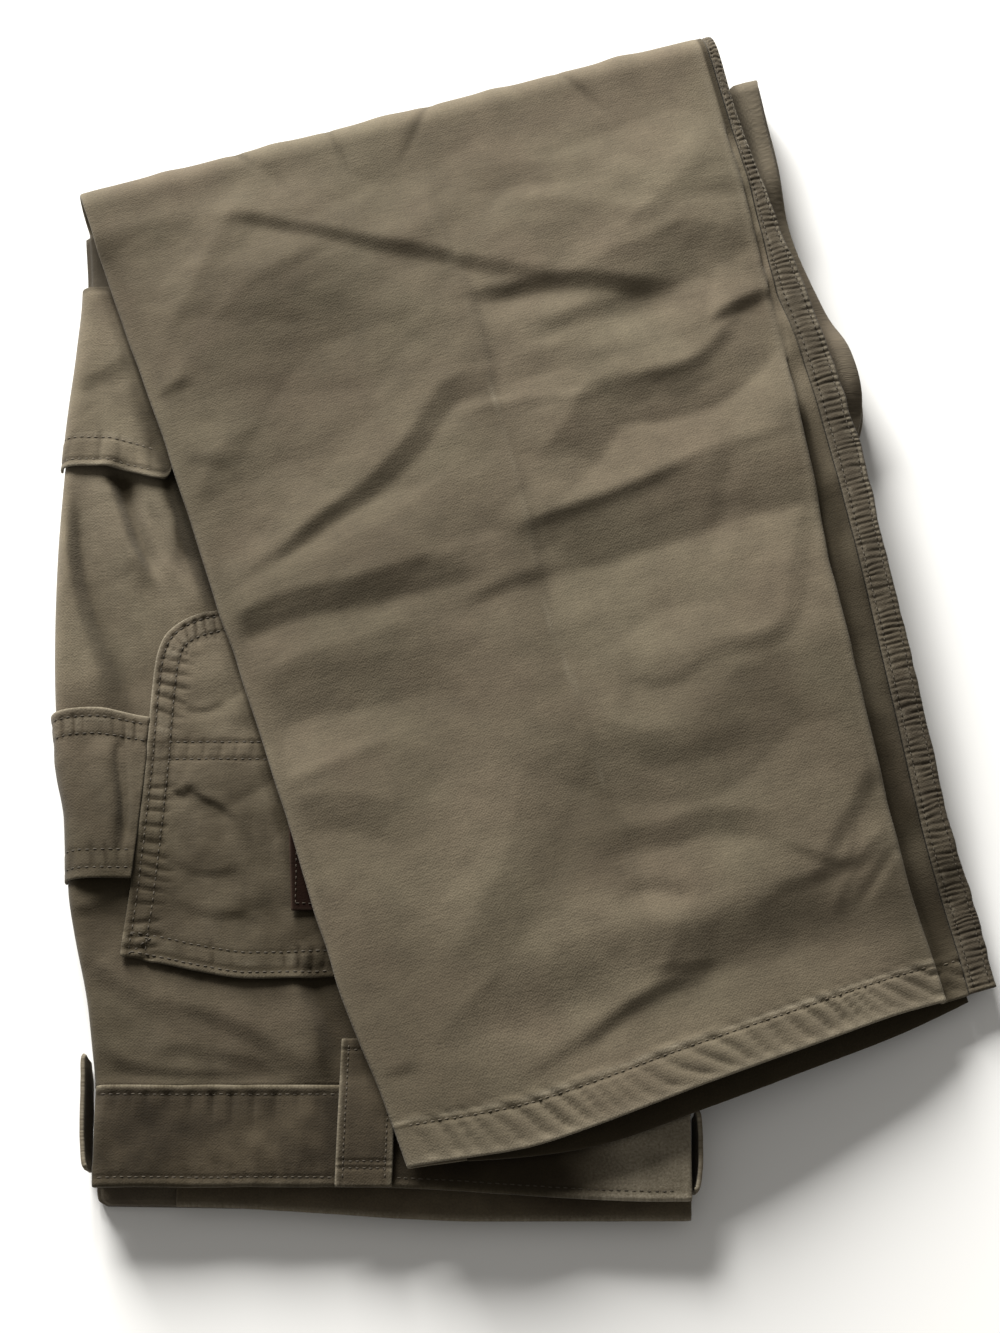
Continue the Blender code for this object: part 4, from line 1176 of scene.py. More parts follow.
def mix_colour(tree, share, first, second, blend="MIX"):
    """Mix two colours or colour links by a share."""
    node = add(tree, "ShaderNodeMix", data_type="RGBA", blend_type=blend)
    for index, value in ((0, share), (6, first), (7, second)):
        if isinstance(value, (int, float, tuple)):
            node.inputs[index].default_value = value
        else:
            tree.links.new(value, node.inputs[index])
    return node.outputs[2]


def weighted_sum(tree, base, *parts):
    """Add links, each times its weight, to a base."""
    total = base
    for value, weight in parts:
        total = math_node(tree, "ADD", math_node(tree, "MULTIPLY", value, weight), total)
    return total


def new_material(name):
    """A material with its node tree and its shader."""
    material = bpy.data.materials.new(name)
    material.use_nodes = True
    return material, material.node_tree, material.node_tree.nodes["Principled BSDF"]


def cloud(tree, place, scale, detail, rough=0.5):
    """Soft random spots."""
    node = add(tree, "ShaderNodeTexNoise", Scale=scale, Detail=detail, Roughness=rough)
    tree.links.new(place, node.inputs["Vector"])
    return node.outputs[0]


def mesh_mark(tree, name):
    """Wear or shade that the mesh carries."""
    return add(tree, "ShaderNodeAttribute", attribute_name=name).outputs["Fac"]


def raise_surface(tree, shader, height, strength, distance):
    """Give a shader a bump."""
    node = add(tree, "ShaderNodeBump", Strength=strength, Distance=distance)
    tree.links.new(height, node.inputs["Height"])
    tree.links.new(node.outputs[0], shader.inputs["Normal"])


WEAVE_PITCH = 0.0007
# Worn colour that the wear marks mix in; where those marks are painted highlights it stands in for light
CLOTH_WORN_AND_LIT = (0.25, 0.22, 0.165, 1.0)
# Tint that the shade marks multiply in: painted shade
CLOTH_PAINTED_SHADE = (0.22, 0.20, 0.15, 1.0)

# material: colour, second colour, contrast of the mottling
CLOTHS = {
    "canvas": ((0.142, 0.119, 0.080, 1.0), (0.128, 0.101, 0.069, 1.0), 1.0),
    "canvas_pale": ((0.152, 0.127, 0.086, 1.0), (0.132, 0.105, 0.072, 1.0), 1.0),
    "band_canvas": ((0.112, 0.089, 0.057, 1.0), (0.070, 0.054, 0.034, 1.0), 1.35),
    "seam_canvas": ((0.090, 0.074, 0.050, 1.0), (0.062, 0.050, 0.034, 1.0), 1.3),
    # The layers' canvas is a darker copy of the canvas: painted shade on the layers under the leg
    "layers_canvas": ((0.118, 0.098, 0.068, 1.0), (0.088, 0.070, 0.049, 1.0), 1.0),
}
THREADS = {
    "thread": (0.046, 0.037, 0.025, 1.0),
    "thread_pale": (0.078, 0.064, 0.043, 1.0),
}
LEATHER_DARK = (0.006, 0.0025, 0.0015, 1.0)
LEATHER_LIGHT = (0.011, 0.005, 0.003, 1.0)
LEATHER_WORN = (0.05, 0.034, 0.025, 1.0)
FLOOR_DARK = (0.80, 0.80, 0.79, 1.0)
FLOOR_LIGHT = (0.83, 0.83, 0.82, 1.0)
FLOOR_SIZE = 6.0
FLOOR_Z = -0.0002


def cloth_material(name, base, second, contrast):
    """Canvas: plain weave with slubs, washed mottling, worn edges, painted highlights and painted shade."""
    material, tree, shader = new_material(name)
    place = add(tree, "ShaderNodeUVMap", uv_map="cloth").outputs[0]
    parts = add(tree, "ShaderNodeSeparateXYZ")
    tree.links.new(place, parts.inputs[0])
    turns = [math_node(tree, "MULTIPLY", parts.outputs[i], math.pi / WEAVE_PITCH) for i in (0, 1)]
    warp, weft = [math_node(tree, "SINE", turn) for turn in turns]
    weave = math_node(tree, "MULTIPLY", warp, weft)

    def spots(scale, detail, low, high, stretch=(1.0, 1.0, 1.0), rough=0.55):
        mapping = add(tree, "ShaderNodeMapping", Scale=stretch)
        tree.links.new(place, mapping.inputs[0])
        node = add(tree, "ShaderNodeMapRange", From_Min=low, From_Max=high)
        tree.links.new(cloud(tree, mapping.outputs[0], scale, detail, rough), node.inputs["Value"])
        return node.outputs[0]

    wide = spots(16.0, 3.0, 0.35, 0.65)
    streak = spots(420.0, 4.0, 0.3, 0.7, (0.28, 1.0, 1.0))
    slub = spots(420.0, 4.0, 0.3, 0.7, (1.0, 0.28, 1.0))
    grain = spots(1100.0, 3.0, 0.25, 0.75)
    fades = spots(70.0, 5.0, 0.3, 0.72, rough=0.65)
    colour = mix_colour(tree, math_node(tree, "MULTIPLY", wide, 0.75 * contrast), base, second)
    tone = weighted_sum(tree, 0.545, (streak, 0.05), (slub, 0.05), (grain, 0.32),
                        (fades, 0.20 * contrast), (weave, 0.02))
    colour = mix_colour(tree, 1.0, colour, tone, "MULTIPLY")
    # The wear mark mixes in worn colour and painted highlights; the shade mark multiplies in painted shade
    rub = weighted_sum(tree, 0.35, (spots(900.0, 4.0, 0.3, 0.7), 0.9))
    rub = math_node(tree, "MINIMUM", math_node(tree, "MULTIPLY", mesh_mark(tree, "wear_and_highlight"), rub), 1.0)
    colour = mix_colour(tree, rub, colour, CLOTH_WORN_AND_LIT)
    dark = mix_colour(tree, 1.0, colour, CLOTH_PAINTED_SHADE, "MULTIPLY")
    colour = mix_colour(tree, mesh_mark(tree, "shade"), colour, dark)
    tree.links.new(colour, shader.inputs["Base Color"])
    tree.links.new(weighted_sum(tree, 0.82, (grain, 0.12)), shader.inputs["Roughness"])
    height = weighted_sum(tree, 0.0, (weave, 0.15), (streak, 0.5), (slub, 0.5), (grain, 1.0))
    raise_surface(tree, shader, height, 0.35, 0.00035)
    shader.inputs["Sheen Weight"].default_value = 0.06
    shader.inputs["Sheen Roughness"].default_value = 0.5
    shader.inputs["Specular IOR Level"].default_value = 0.12
    return material


def thread_material(name, colour):
    """Twisted sewing thread."""
    material, tree, shader = new_material(name)
    place = add(tree, "ShaderNodeTexCoord").outputs["Object"]
    fuzz = cloud(tree, place, 900.0, 3.0)
    tone = weighted_sum(tree, 0.55, (fuzz, 0.9))
    tree.links.new(mix_colour(tree, 1.0, colour, tone, "MULTIPLY"), shader.inputs["Base Color"])
    raise_surface(tree, shader, fuzz, 0.4, 0.0002)
    shader.inputs["Roughness"].default_value = 0.7
    shader.inputs["Specular IOR Level"].default_value = 0.25
    return material


def leather_material(name):
    """Dark red-brown leather with fine grain and rubbed edges."""
    material, tree, shader = new_material(name)
    place = add(tree, "ShaderNodeUVMap", uv_map="cloth").outputs[0]
    cells = add(tree, "ShaderNodeTexVoronoi", Scale=1300.0)
    tree.links.new(place, cells.inputs["Vector"])
    spots = cloud(tree, place, 90.0, 5.0)
    colour = mix_colour(tree, spots, LEATHER_DARK, LEATHER_LIGHT)
    colour = mix_colour(tree, mesh_mark(tree, "wear_and_highlight"), colour, LEATHER_WORN)
    tree.links.new(colour, shader.inputs["Base Color"])
    tree.links.new(weighted_sum(tree, 0.72, (spots, 0.2)), shader.inputs["Roughness"])
    shader.inputs["Specular IOR Level"].default_value = 0.03
    raise_surface(tree, shader, cells.outputs["Distance"], 0.35, 0.0002)
    return material


def floor_material():
    """Plain pale studio floor with the faintest unevenness."""
    material, tree, shader = new_material("studio_floor")
    place = add(tree, "ShaderNodeTexCoord").outputs["Object"]
    colour = mix_colour(tree, cloud(tree, place, 3.0, 3.0), FLOOR_DARK, FLOOR_LIGHT)
    tree.links.new(colour, shader.inputs["Base Color"])
    shader.inputs["Roughness"].default_value = 0.9
    return material


def finish_piece(piece, slot, *nodes):
    """Fix a piece to the body and hide the solids it stands for."""
    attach(piece, "root")
    if nodes:
        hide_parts(*nodes)


# y on the body, depth of the painted shade, painted shadow beside the leg, its reach
BODY_PAINTED_SHADE = (
    (-240.0, 0.86, 0.40, 9.0),
    (-190.0, 0.74, 0.40, 11.0),
    (-150.0, 0.66, 0.40, 10.0),
    (-120.0, 0.80, 0.25, 8.0),
    (-60.0, 0.60, 0.25, 5.0),
    (0.0, 0.22, 0.20, 5.0),
    (40.0, 0.14, 0.30, 7.0),
    (80.0, 0.10, 0.75, 12.0),
    (100.0, 0.10, 0.90, 13.0),
    (120.0, 0.04, 0.85, 10.0),
    (150.0, 0.02, 0.50, 7.0),
    (176.0, 0.02, 0.40, 6.0),
    (200.0, 0.10, 0.70, 9.0),
)


def body_shade_and_mottling(x, y):
    """Painted shade darker towards the waist, painted shadow beside the leg and where the seat goes under,
    and random mottling.
    """
    beside = x - leg_edge_x(y)
    # Painted shadow beside the leg and at its edge, and painted shade where the seat goes under at its end
    near_leg = look_up(BODY_PAINTED_SHADE, y, 2) * smooth((beside + 2.5) / look_up(BODY_PAINTED_SHADE, y, 3) + 1.0)
    edge_shadow = 0.4 * smooth((beside + 2.5) / 2.5)
    mottled = 0.10 * noise(x, y, 26.0, 161) + 0.10 * noise(x, y, 10.0, 162) + 0.06 * noise(x, y, 4.5, 163)
    tucked_shade = 0.7 * smooth((y - SEAT_END + 5.0) / 5.0)
    return np.clip(look_up(BODY_PAINTED_SHADE, y) + mottled + near_leg + edge_shadow + tucked_shade, 0.0, 0.94)


def fold_shade(x, y):
    """Painted shade on the inner sides of the deep folds beside the leg."""
    dark = 0.0
    for shape, height, start, end, points in SEAT_CREASES:
        if shape != "band":
            continue
        far, run = line_distance(bend_through(points), x, y, 3.0)
        width = start + (end - start) * run
        depth = 0.07 * height * (1.1 - 0.5 * run) * taper(run, 0.1)
        dark = dark + depth * bell(far / width + 0.5, 0.62)
    return dark


# centre of a painted shadow in a deep gap on the seat, its reach along x and y
SEAT_GAPS = (
    (-170.0, 87.0, 4.0, 6.0),
    (-176.0, 91.0, 5.0, 3.0),
    (-148.0, 86.0, 4.0, 6.0),
    (-144.0, 62.0, 4.0, 10.0),
)


def gap_shade(x, y):
    """Painted shadow in the gaps under the edges that stand off the seat."""
    mouth = y - look_up(POCKET_MOUTH, x)
    pocket = 0.95 * bell(mouth + 0.9, 1.3) * smooth((x + 160.0) / 30.0)
    gaps = bell(y - LOOP_LOW + 2.0, 2.2) * smooth((x + 187.0) / 10.0) * smooth((-160.0 - x) / 8.0)
    for centre_x, centre_y, reach_x, reach_y in SEAT_GAPS:
        gaps = gaps + bell(x - centre_x, reach_x) * bell(y - centre_y, reach_y)
    return pocket + 0.9 * gaps


def rim_wear(far, reach):
    """Wear that fades in from an edge."""
    return np.exp(-np.maximum(far, 0.0) / reach)


# The leg's old pressed line, from the fold down to the hem
PRESSED_LINE = ((-39, 246), (-25, 201), (-8, 150), (-2, 122), (7, 86), (14, 54), (23, 14), (33, -15),
                (41, -47), (52, -79), (63, -122))

# Painted lighter and darker patches of light and shade on the top leg: x, y, reach along and across, turn
# in degrees, depth
LEG_LIGHT_PATCHES = (
    (-14.0, -86.0, 46.0, 20.0, 76.0, -0.26),
    (36.0, -134.0, 38.0, 19.0, 48.0, -0.26),
    (8.0, -108.0, 34.0, 14.0, 54.0, 0.16),
    (-50.0, -154.0, 46.0, 30.0, 20.0, 0.20),
    (42.0, -84.0, 30.0, 22.0, 60.0, 0.34),
    (112.0, -22.0, 42.0, 26.0, 20.0, 0.30),
    (96.0, -72.0, 44.0, 24.0, 0.0, 0.12),
    (150.0, -116.0, 32.0, 20.0, 60.0, -0.45),
    (-88.0, 170.0, 60.0, 50.0, 20.0, 0.18),
    (-40.0, 232.0, 50.0, 26.0, 10.0, 0.14),
    (77.0, 236.0, 40.0, 22.0, 10.0, -0.14),
    (-70.0, 30.0, 60.0, 36.0, 20.0, 0.18),
    (64.0, 204.0, 28.0, 12.0, 10.0, -0.22),
    (100.0, 100.0, 30.0, 18.0, 20.0, -0.18),
    (-46.0, -62.0, 50.0, 28.0, 70.0, 0.12),
    (-32.0, -198.0, 40.0, 22.0, 16.0, 0.20),
    (10.0, -160.0, 34.0, 18.0, 20.0, -0.20),
)


def leg_light_and_mottling(x, y):
    """Painted light and shade of the top leg, darker to the left, in patches, with random mottling."""
    tone = 0.20 - 0.0006 * x + 0.05 * noise(x, y, 44.0, 174)
    for centre_x, centre_y, long, wide, turn, depth in LEG_LIGHT_PATCHES:
        ahead_x, ahead_y = math.cos(math.radians(turn)), math.sin(math.radians(turn))
        u = ((x - centre_x) * ahead_x + (y - centre_y) * ahead_y) / long
        v = ((y - centre_y) * ahead_x - (x - centre_x) * ahead_y) / wide
        tone = tone + depth * np.exp(-(u * u + v * v) ** 1.4)
    return tone


def pressed_line(x, y):
    """Painted shade beside the leg's old pressed line, and the rubbed threads along it."""
    far, run = line_distance(bend_through(PRESSED_LINE), x, y, 1.0)
    broken = np.clip(0.5 + 0.9 * noise(x, y, 15.0, 181), 0.0, 1.0)
    rubbed = 0.42 * bell(far, 0.9) * broken * smooth((y + 125.0) / 14.0) * smooth((214.0 - y) / 30.0)
    shade = 0.17 * bell(far, np.where(far > 0.0, 2.0, 13.0)) * smooth((226.0 - y) / 30.0)
    return shade * (0.6 + 0.6 * noise(x, y, 24.0, 182)), rubbed


def leg_wear(rows, across, ridge, left):
    """Rubbed edges, hem and ridge of the top leg."""
    hem = rim_wear(rows, 1.6) * 0.55
    stitched = (0.4 + 0.3 * noise(across, 0.0, 9.0, 173)) * bell(rows - HEM_DEPTH - 1.9, 1.1)
    edge = 0.22 * rim_wear(np.abs(across - left - 0.6), 1.2)
    fold = 0.12 * bell(across - ridge + 1.0, 2.0)
    faded = 0.07 * fall((rows - HEM_DEPTH + 1.0) / 2.0)
    return hem + stitched + edge + fold + faded * (1.0 + smooth((across - 160.0) / 60.0))


def leg_shade(rows, along, across, ridge):
    """Painted shade in the hollow beside the ridge, painted shadow in its gap and painted shade in the
    hem's valley.
    """
    lit = smooth((along - 250.0) / 50.0) * smooth((440.0 - along) / 30.0)
    hollow = 0.62 + 0.30 * bell(across - ridge - 1.5, 4.0) + 0.35 * noise(rows, 1.3 * across, 20.0, 171)
    hollow = hollow * (1.0 - 0.95 * lit) * smooth((across - ridge - 0.5) / 1.5)
    gap = bell(across - ridge - 2.4, 1.3) * smooth((along - 236.0) / 10.0) * smooth((290.0 - along) / 12.0)
    return hollow + 0.9 * gap + 0.5 * bell(rows - HEM_DEPTH, 0.8)


def make_leg(materials):
    """The upper leg: back panel, front panel, felled inseam and their stitches."""
    grid, across = leg_grid()
    rows = leg_rows()[:, None]
    along = station_along(rows, 0.0, 1)
    ridge = ridge_across(along)
    x, y = leg_to_body(along, across)
    beside, rubbed = pressed_line(x, y)
    # Painted shade in the dents over the knee fold
    dent_shade = 0.55 * np.clip(-fold_relief(along, across), 0.0, 1.0)
    shade = leg_shade(rows, along, across, ridge) + beside + dent_shade + leg_light_and_mottling(x, y)
    wear_and_highlight = leg_wear(rows, across, ridge, leg_left(along)) + rubbed
    back = slab("leg_back_cloth", grid, WALL, materials["canvas"], wear_and_highlight, np.clip(shade, 0.0, 0.95),
                points_of(across, rows))
    finish_piece(back, "leg_canvas", "leg_back_panel")
    make_leg_front(materials)
    make_inseam(materials)
    runs = [trace(leg_surface, np.linspace(*span), HEM_DEPTH) for span in HEM_ROW]
    stitches = sew("leg_hem_stitches", runs, materials["thread_pale"])


def make_leg_front(materials):
    """Lower wall of the leg's tube, with its own hem."""
    last = FOLD_AT + FOLD_ARC
    rows = np.concatenate([np.arange(0.0, 21.0, 1.0), np.linspace(24.0, FOLD_AT, 92),
                           np.linspace(FOLD_AT, last, 17)[1:], [last + 6.0, last + TUCK]])[:, None]
    along = station_along(rows, 130.0, 2)
    start = leg_left(along) + FLAP_REACH + 0.4
    end = leg_outer(along) - strip_width(along) - SEAM_GAP
    across = start + (end - start) * np.linspace(0.0, 1.0, 96)[None, :]
    here = station_along(rows, across, 2)
    near = fall((rows - HEM_DEPTH) / 3.0)
    dips = 0.25 * near * np.abs(np.sin(math.pi * (across + 0.5 * rows) / 8.0))
    grid = over_fold(here, across, leg_underside(here, across) - dips)[:, ::-1]
    # The shade mark paints the shadow inside the tube near the hem
    front = slab("leg_front_cloth", grid, WALL, materials["canvas"], 0.1 * rim_wear(rows, 1.5),
                 0.95 * fall((rows - 24.0) / 20.0), points_of(across, rows)[:, ::-1], 1.0)
    finish_piece(front, "leg_canvas", "leg_front_panel")


# The felled seam's section, as share of its width and height, and its two rows of thread
STRIP_SECTION = ((0.0, 0.35), (0.0, 1.2), (0.0, 2.1), (0.05, 2.7), (0.13, 2.95), (0.2, 2.75),
                 (0.27, 2.95), (0.36, 3.05), (0.46, 3.1), (0.56, 3.1), (0.66, 3.05), (0.74, 2.9),
                 (0.8, 2.65), (0.87, 2.8), (0.93, 2.6), (0.98, 2.2), (1.0, 1.7), (0.99, 1.1),
                 (0.95, 0.6), (0.88, 0.35))
STRIP_ROWS = (0.2, 0.8)

# start, end and steps of the hem's row of thread: on the panel, on the shelf
HEM_ROW = ((3.5, 238.0, 500), (245.5, 252.5, 40))


def strip_points(share, distance, height):
    """Points of the felled seam."""
    along = station_along(distance, 262.0, 1)
    outer = leg_outer(along)
    width = strip_width(along)
    rest = leg_underside(along, outer - width)
    wander = 0.9 * noise(distance, 0.0, 26.0, 91) + 0.5 * noise(distance, 3.0 * share, 8.0, 92)
    wander = wander * smooth(width / 9.0)
    return over_fold(along, outer - width + share * width + wander * share, rest + height)


def strip_rung(share, distance):
    """Depth of the rungs across the felled seam, pulled in by its two rows of thread."""
    uneven = 0.5 * noise(distance, 0.0, 12.0, 93) + 0.3 * noise(distance, 9.0 * share, 5.0, 95)
    depth = np.maximum(0.32 + 0.34 * noise(distance, 7.0 * share, 3.4, 94), 0.08)
    inner = smooth((share + 0.02) / 0.2) * smooth((1.1 - share) / 0.2)
    return depth * rib(distance / 2.8 + uneven) ** 1.2 * inner


def strip_lift(share, distance):
    """Rise and fall of the felled seam's face."""
    return 0.25 * noise(distance, 4.0 * share, 12.0, 96) - strip_rung(share, distance)


def strip_surface(share, distance):
    """Upper face of the felled seam."""
    section = [row for row in STRIP_SECTION if row[1] > 2.15]
    height = look_up(section, share)
    return strip_points(share, distance, height + strip_lift(share, distance))


def make_inseam(materials):
    """Felled inseam along the leg's outer edge and over the knee fold."""
    last = FOLD_AT + FOLD_ARC + TUCK
    distance = np.linspace(0.0, last, 1150)[:, None]
    share = np.array([row[0] for row in STRIP_SECTION])[None, :]
    height = np.array([row[1] for row in STRIP_SECTION])[None, :]
    height = height + np.where(height > 2.0, strip_lift(share, distance), 0.0)
    rings = strip_points(share, distance, height)
    rung = strip_rung(share, distance)
    # Painted highlights on the seam's outer edge and on its thread rows, mixed with wear
    edge_highlight = 0.7 * bell(share - 0.9, 0.05) * smooth((distance - 150.0) / 100.0)
    nub_highlights = 0.26 * bell(share - 0.24, 0.09) + 0.22 * bell(share - 0.72, 0.09)
    nub_highlights = nub_highlights * (0.7 + 0.9 * noise(distance, 9.0 * share, 3.0, 98))
    wear_and_highlight = np.clip(0.35 * rim_wear(share, 0.05) + edge_highlight + nub_highlights - 1.2 * rung, 0.0, 1.0)
    # Painted shade in the rungs, with random mottling
    shade = np.clip(1.3 * rung + 0.12 + 0.22 * noise(distance, 4.0 * share, 30.0, 97), 0.0, 0.85)
    seam = loft("inseam_strip", rings, materials["seam_canvas"], shade.ravel(), wear_and_highlight.ravel())
    line = np.linspace(2.0, FOLD_AT + 20.0, 900)
    runs = [trace_strip(row, line) for row in STRIP_ROWS]
    stitches = sew("inseam_stitches", runs, materials["thread"], 3.0)
    finish_piece(seam, "seam_canvas", "inseam")


def trace_strip(row, distance):
    """Points and normals of a row of thread on the felled seam."""
    points = strip_surface(row, distance)
    across = strip_surface(row + 0.05, distance) - points
    return points, unit(np.cross(across, np.gradient(points, axis=0)))


def make_seat(materials):
    """Seat panel and everything that is sewn on it."""
    grid, reach, y = seat_grid()
    x = x_at(reach, y)
    relief = seat_relief(x, y)
    # Painted shade: darker towards the waist, painted shadow beside the leg and in the gaps, painted shade
    # in folds and hollows
    shade = np.clip(body_shade_and_mottling(x, y) + gap_shade(x, y) + fold_shade(x, y) - relief * 0.06, 0.0, 0.97)
    wear_and_highlight = 0.25 * rim_wear(np.abs(reach - 4.0), 2.0)
    # Lighter seat beside the tool pocket: painted highlight
    wear_and_highlight = wear_and_highlight + 0.12 * smooth((y - 30.0) / 40.0) * smooth((170.0 - y) / 20.0)
    seat = slab("seat_cloth", grid, WALL, materials["canvas"], wear_and_highlight, shade, points_of(reach, y))
    finish_piece(seat, "seat_canvas", "seat_panel")
    make_pocket(materials)
    make_label(materials)
    make_hammer_loop(materials)
    make_tool_pocket(materials)


def make_pocket(materials):
    """Back pocket with double-needle rows, a reinforced band and a gaping mouth."""
    grid, x, y = pocket_grid()
    far, run = pocket_side(x, y)
    mouth = y - look_up(POCKET_MOUTH, x)
    wear_and_highlight = 0.75 * rim_wear(far, 0.6) + 0.6 * rim_wear(mouth, 0.6)
    wear_and_highlight = wear_and_highlight + seam_wear_and_highlight(far, run, POCKET_SEAM) + seam_wear_and_highlight(mouth, x, MOUTH_SEAM)
    shade = seam_shade(far, run, POCKET_SEAM) + seam_shade(mouth, x, MOUTH_SEAM)
    # Painted shade in the stitched valleys of the pocket's band
    shade = shade + 0.4 * sum(bell(y - row, 0.8) for row in POCKET_BAND_ROWS)
    shade = np.clip(shade + body_shade_and_mottling(x, y), 0.0, 0.95)
    pocket = slab("back_pocket_cloth", grid, WALL, materials["canvas_pale"], wear_and_highlight, shade)
    finish_piece(pocket, "pocket_canvas", "back_pocket")
    runs = [inset_run(pocket_edge()[3:POCKET_EDGE_POINTS], row) for row in POCKET_SEAM[0]]
    for rise in (MOUTH_SEAM[0][-1], POCKET_MOUTH_ROW):
        runs.append(trace(pocket_surface, *mouth_line(rise)))
    for row in POCKET_BAND_ROWS:
        line = np.linspace(-147.0, leg_edge_x(np.array([row]))[0] + 4.0, 160)
        runs.append(trace(pocket_surface, line, row))
    for ends_x, ends_y in POCKET_CORNER_ROWS:
        runs.append(trace(pocket_surface, np.linspace(*ends_x, 40), np.linspace(*ends_y, 40)))
    stitches = sew("back_pocket_stitches", runs, materials["thread"])


def inset_run(edge, inset):
    """A row of thread on the pocket at one distance from its edge."""
    ahead = unit(np.gradient(edge, axis=0))
    inward = points_of(ahead[:, 1], -ahead[:, 0])
    line = edge + inward * inset
    length = np.concatenate([[0.0], np.hypot(*np.diff(line, axis=0).T).cumsum()])
    even = np.linspace(0.0, length[-1], 400)
    x, y = np.interp(even, length, line[:, 0]), np.interp(even, length, line[:, 1])
    return trace(pocket_surface, x, y)


def mouth_line(rise):
    """A line beside the pocket's mouth, from its side to under the leg."""
    x = np.linspace(-160.0, -74.0, 260)
    return x, look_up(POCKET_MOUTH, x) + rise


def label_surface(x, y):
    """Face of the plain leather patch."""
    points = pocket_surface(x, y)
    lift = GAP + LABEL_WALL + 0.25 + 0.1 * noise(x, y, 9.0, 99)
    points[..., 2] = np.maximum(points[..., 2], SEAT_TOP + GAP + WALL + 0.3) + lift
    return points


def make_label(materials):
    """Plain leather patch near the pocket mouth, mostly under the leg."""
    y = np.linspace(*LABEL_ENDS, 60)[:, None]
    left = -91.5 - 0.05 * (y + 85.0)
    right = leg_edge_x(y) + UNDER_EDGE - 2.0
    x = left + (right - left) * np.linspace(0.0, 1.0, 48)[None, :]
    y = np.broadcast_to(y, x.shape)
    wear_and_highlight = 0.6 * rim_wear(x - left, 0.4) + 0.4 * rim_wear(y - LABEL_ENDS[0], 0.5)
    label = slab("pocket_label_leather", label_surface(x, y), LABEL_WALL, materials["label_leather"], wear_and_highlight)
    finish_piece(label, "label_leather", "pocket_label")
    run = np.linspace(0.0, 1.0, 80)
    runs = [trace(label_surface, -88.6, -110.0 + 46.0 * run),
            trace(label_surface, -89.0 + 25.0 * run, -109.2)]
    stitches = sew("label_stitches", runs, materials["thread"], 2.6, 0.18, "label_leather")


def make_hammer_loop(materials):
    """Hammer loop with doubled, stitched edges and an open lower side."""
    grid, reach, y = loop_grid()
    low, high = y - LOOP_LOW, loop_top(reach) - y
    wear_and_highlight = 0.7 * rim_wear(low, 0.9) + 0.7 * rim_wear(high, 0.9)
    wear_and_highlight = wear_and_highlight + seam_wear_and_highlight(high, reach, LOOP_SEAM_HIGH) + seam_wear_and_highlight(low, reach, LOOP_SEAM_LOW)
    shade = seam_shade(high, reach, LOOP_SEAM_HIGH) + seam_shade(low, reach, LOOP_SEAM_LOW)
    shade = np.clip(shade + body_shade_and_mottling(reach - 200.0, y), 0.0, 0.95)
    loop = slab("hammer_loop_cloth", grid, WALL, materials["canvas"], wear_and_highlight, shade, points_of(reach, y))
    finish_piece(loop, "pocket_canvas", "hammer_loop")
    low_end, high_end = [float(reach_at(look_up(POCKET_SIDE, y), y)) - 2.0 for y in (-90.0, -28.0)]
    span = np.linspace(5.0, low_end, 140)
    runs = [trace(loop_surface, span, LOOP_LOW + rise) for rise in LOOP_SEAM_LOW[0]]
    span = np.linspace(5.0, high_end, 140)
    runs += [trace(loop_surface, span, loop_top(span) - inset) for inset in LOOP_SEAM_HIGH[0]]
    stitches = sew("hammer_loop_stitches", runs, materials["thread"])


def make_tool_pocket(materials):
    """Tool pocket whose hemmed mouth stands off the thigh."""
    grid, reach, y = tool_grid()
    x = x_at(reach, y)
    mouth = y - look_up(TOOL_MOUTH, x)
    wear_and_highlight = 0.8 * rim_wear(mouth, 0.9) + 0.22 * bell(mouth - TOOL_HEM - 1.5, 1.2)
    shade = np.clip(body_shade_and_mottling(x, y) + seam_shade(mouth, reach, TOOL_SEAM), 0.0, 0.95)
    pocket = slab("tool_pocket_cloth", grid, WALL, materials["canvas"], wear_and_highlight, shade, points_of(reach, y))
    finish_piece(pocket, "pocket_canvas", "tool_pocket")
    span = np.linspace(3.0, 46.0, 150)
    line = look_up(TOOL_MOUTH, TOOL_SIDE_X + span - CURL_REACH + CURL_INSET)
    runs = [trace(tool_surface, span, line + rise) for rise in TOOL_SEAM[0]]
    stitches = sew("tool_pocket_stitches", runs, materials["thread_pale"])


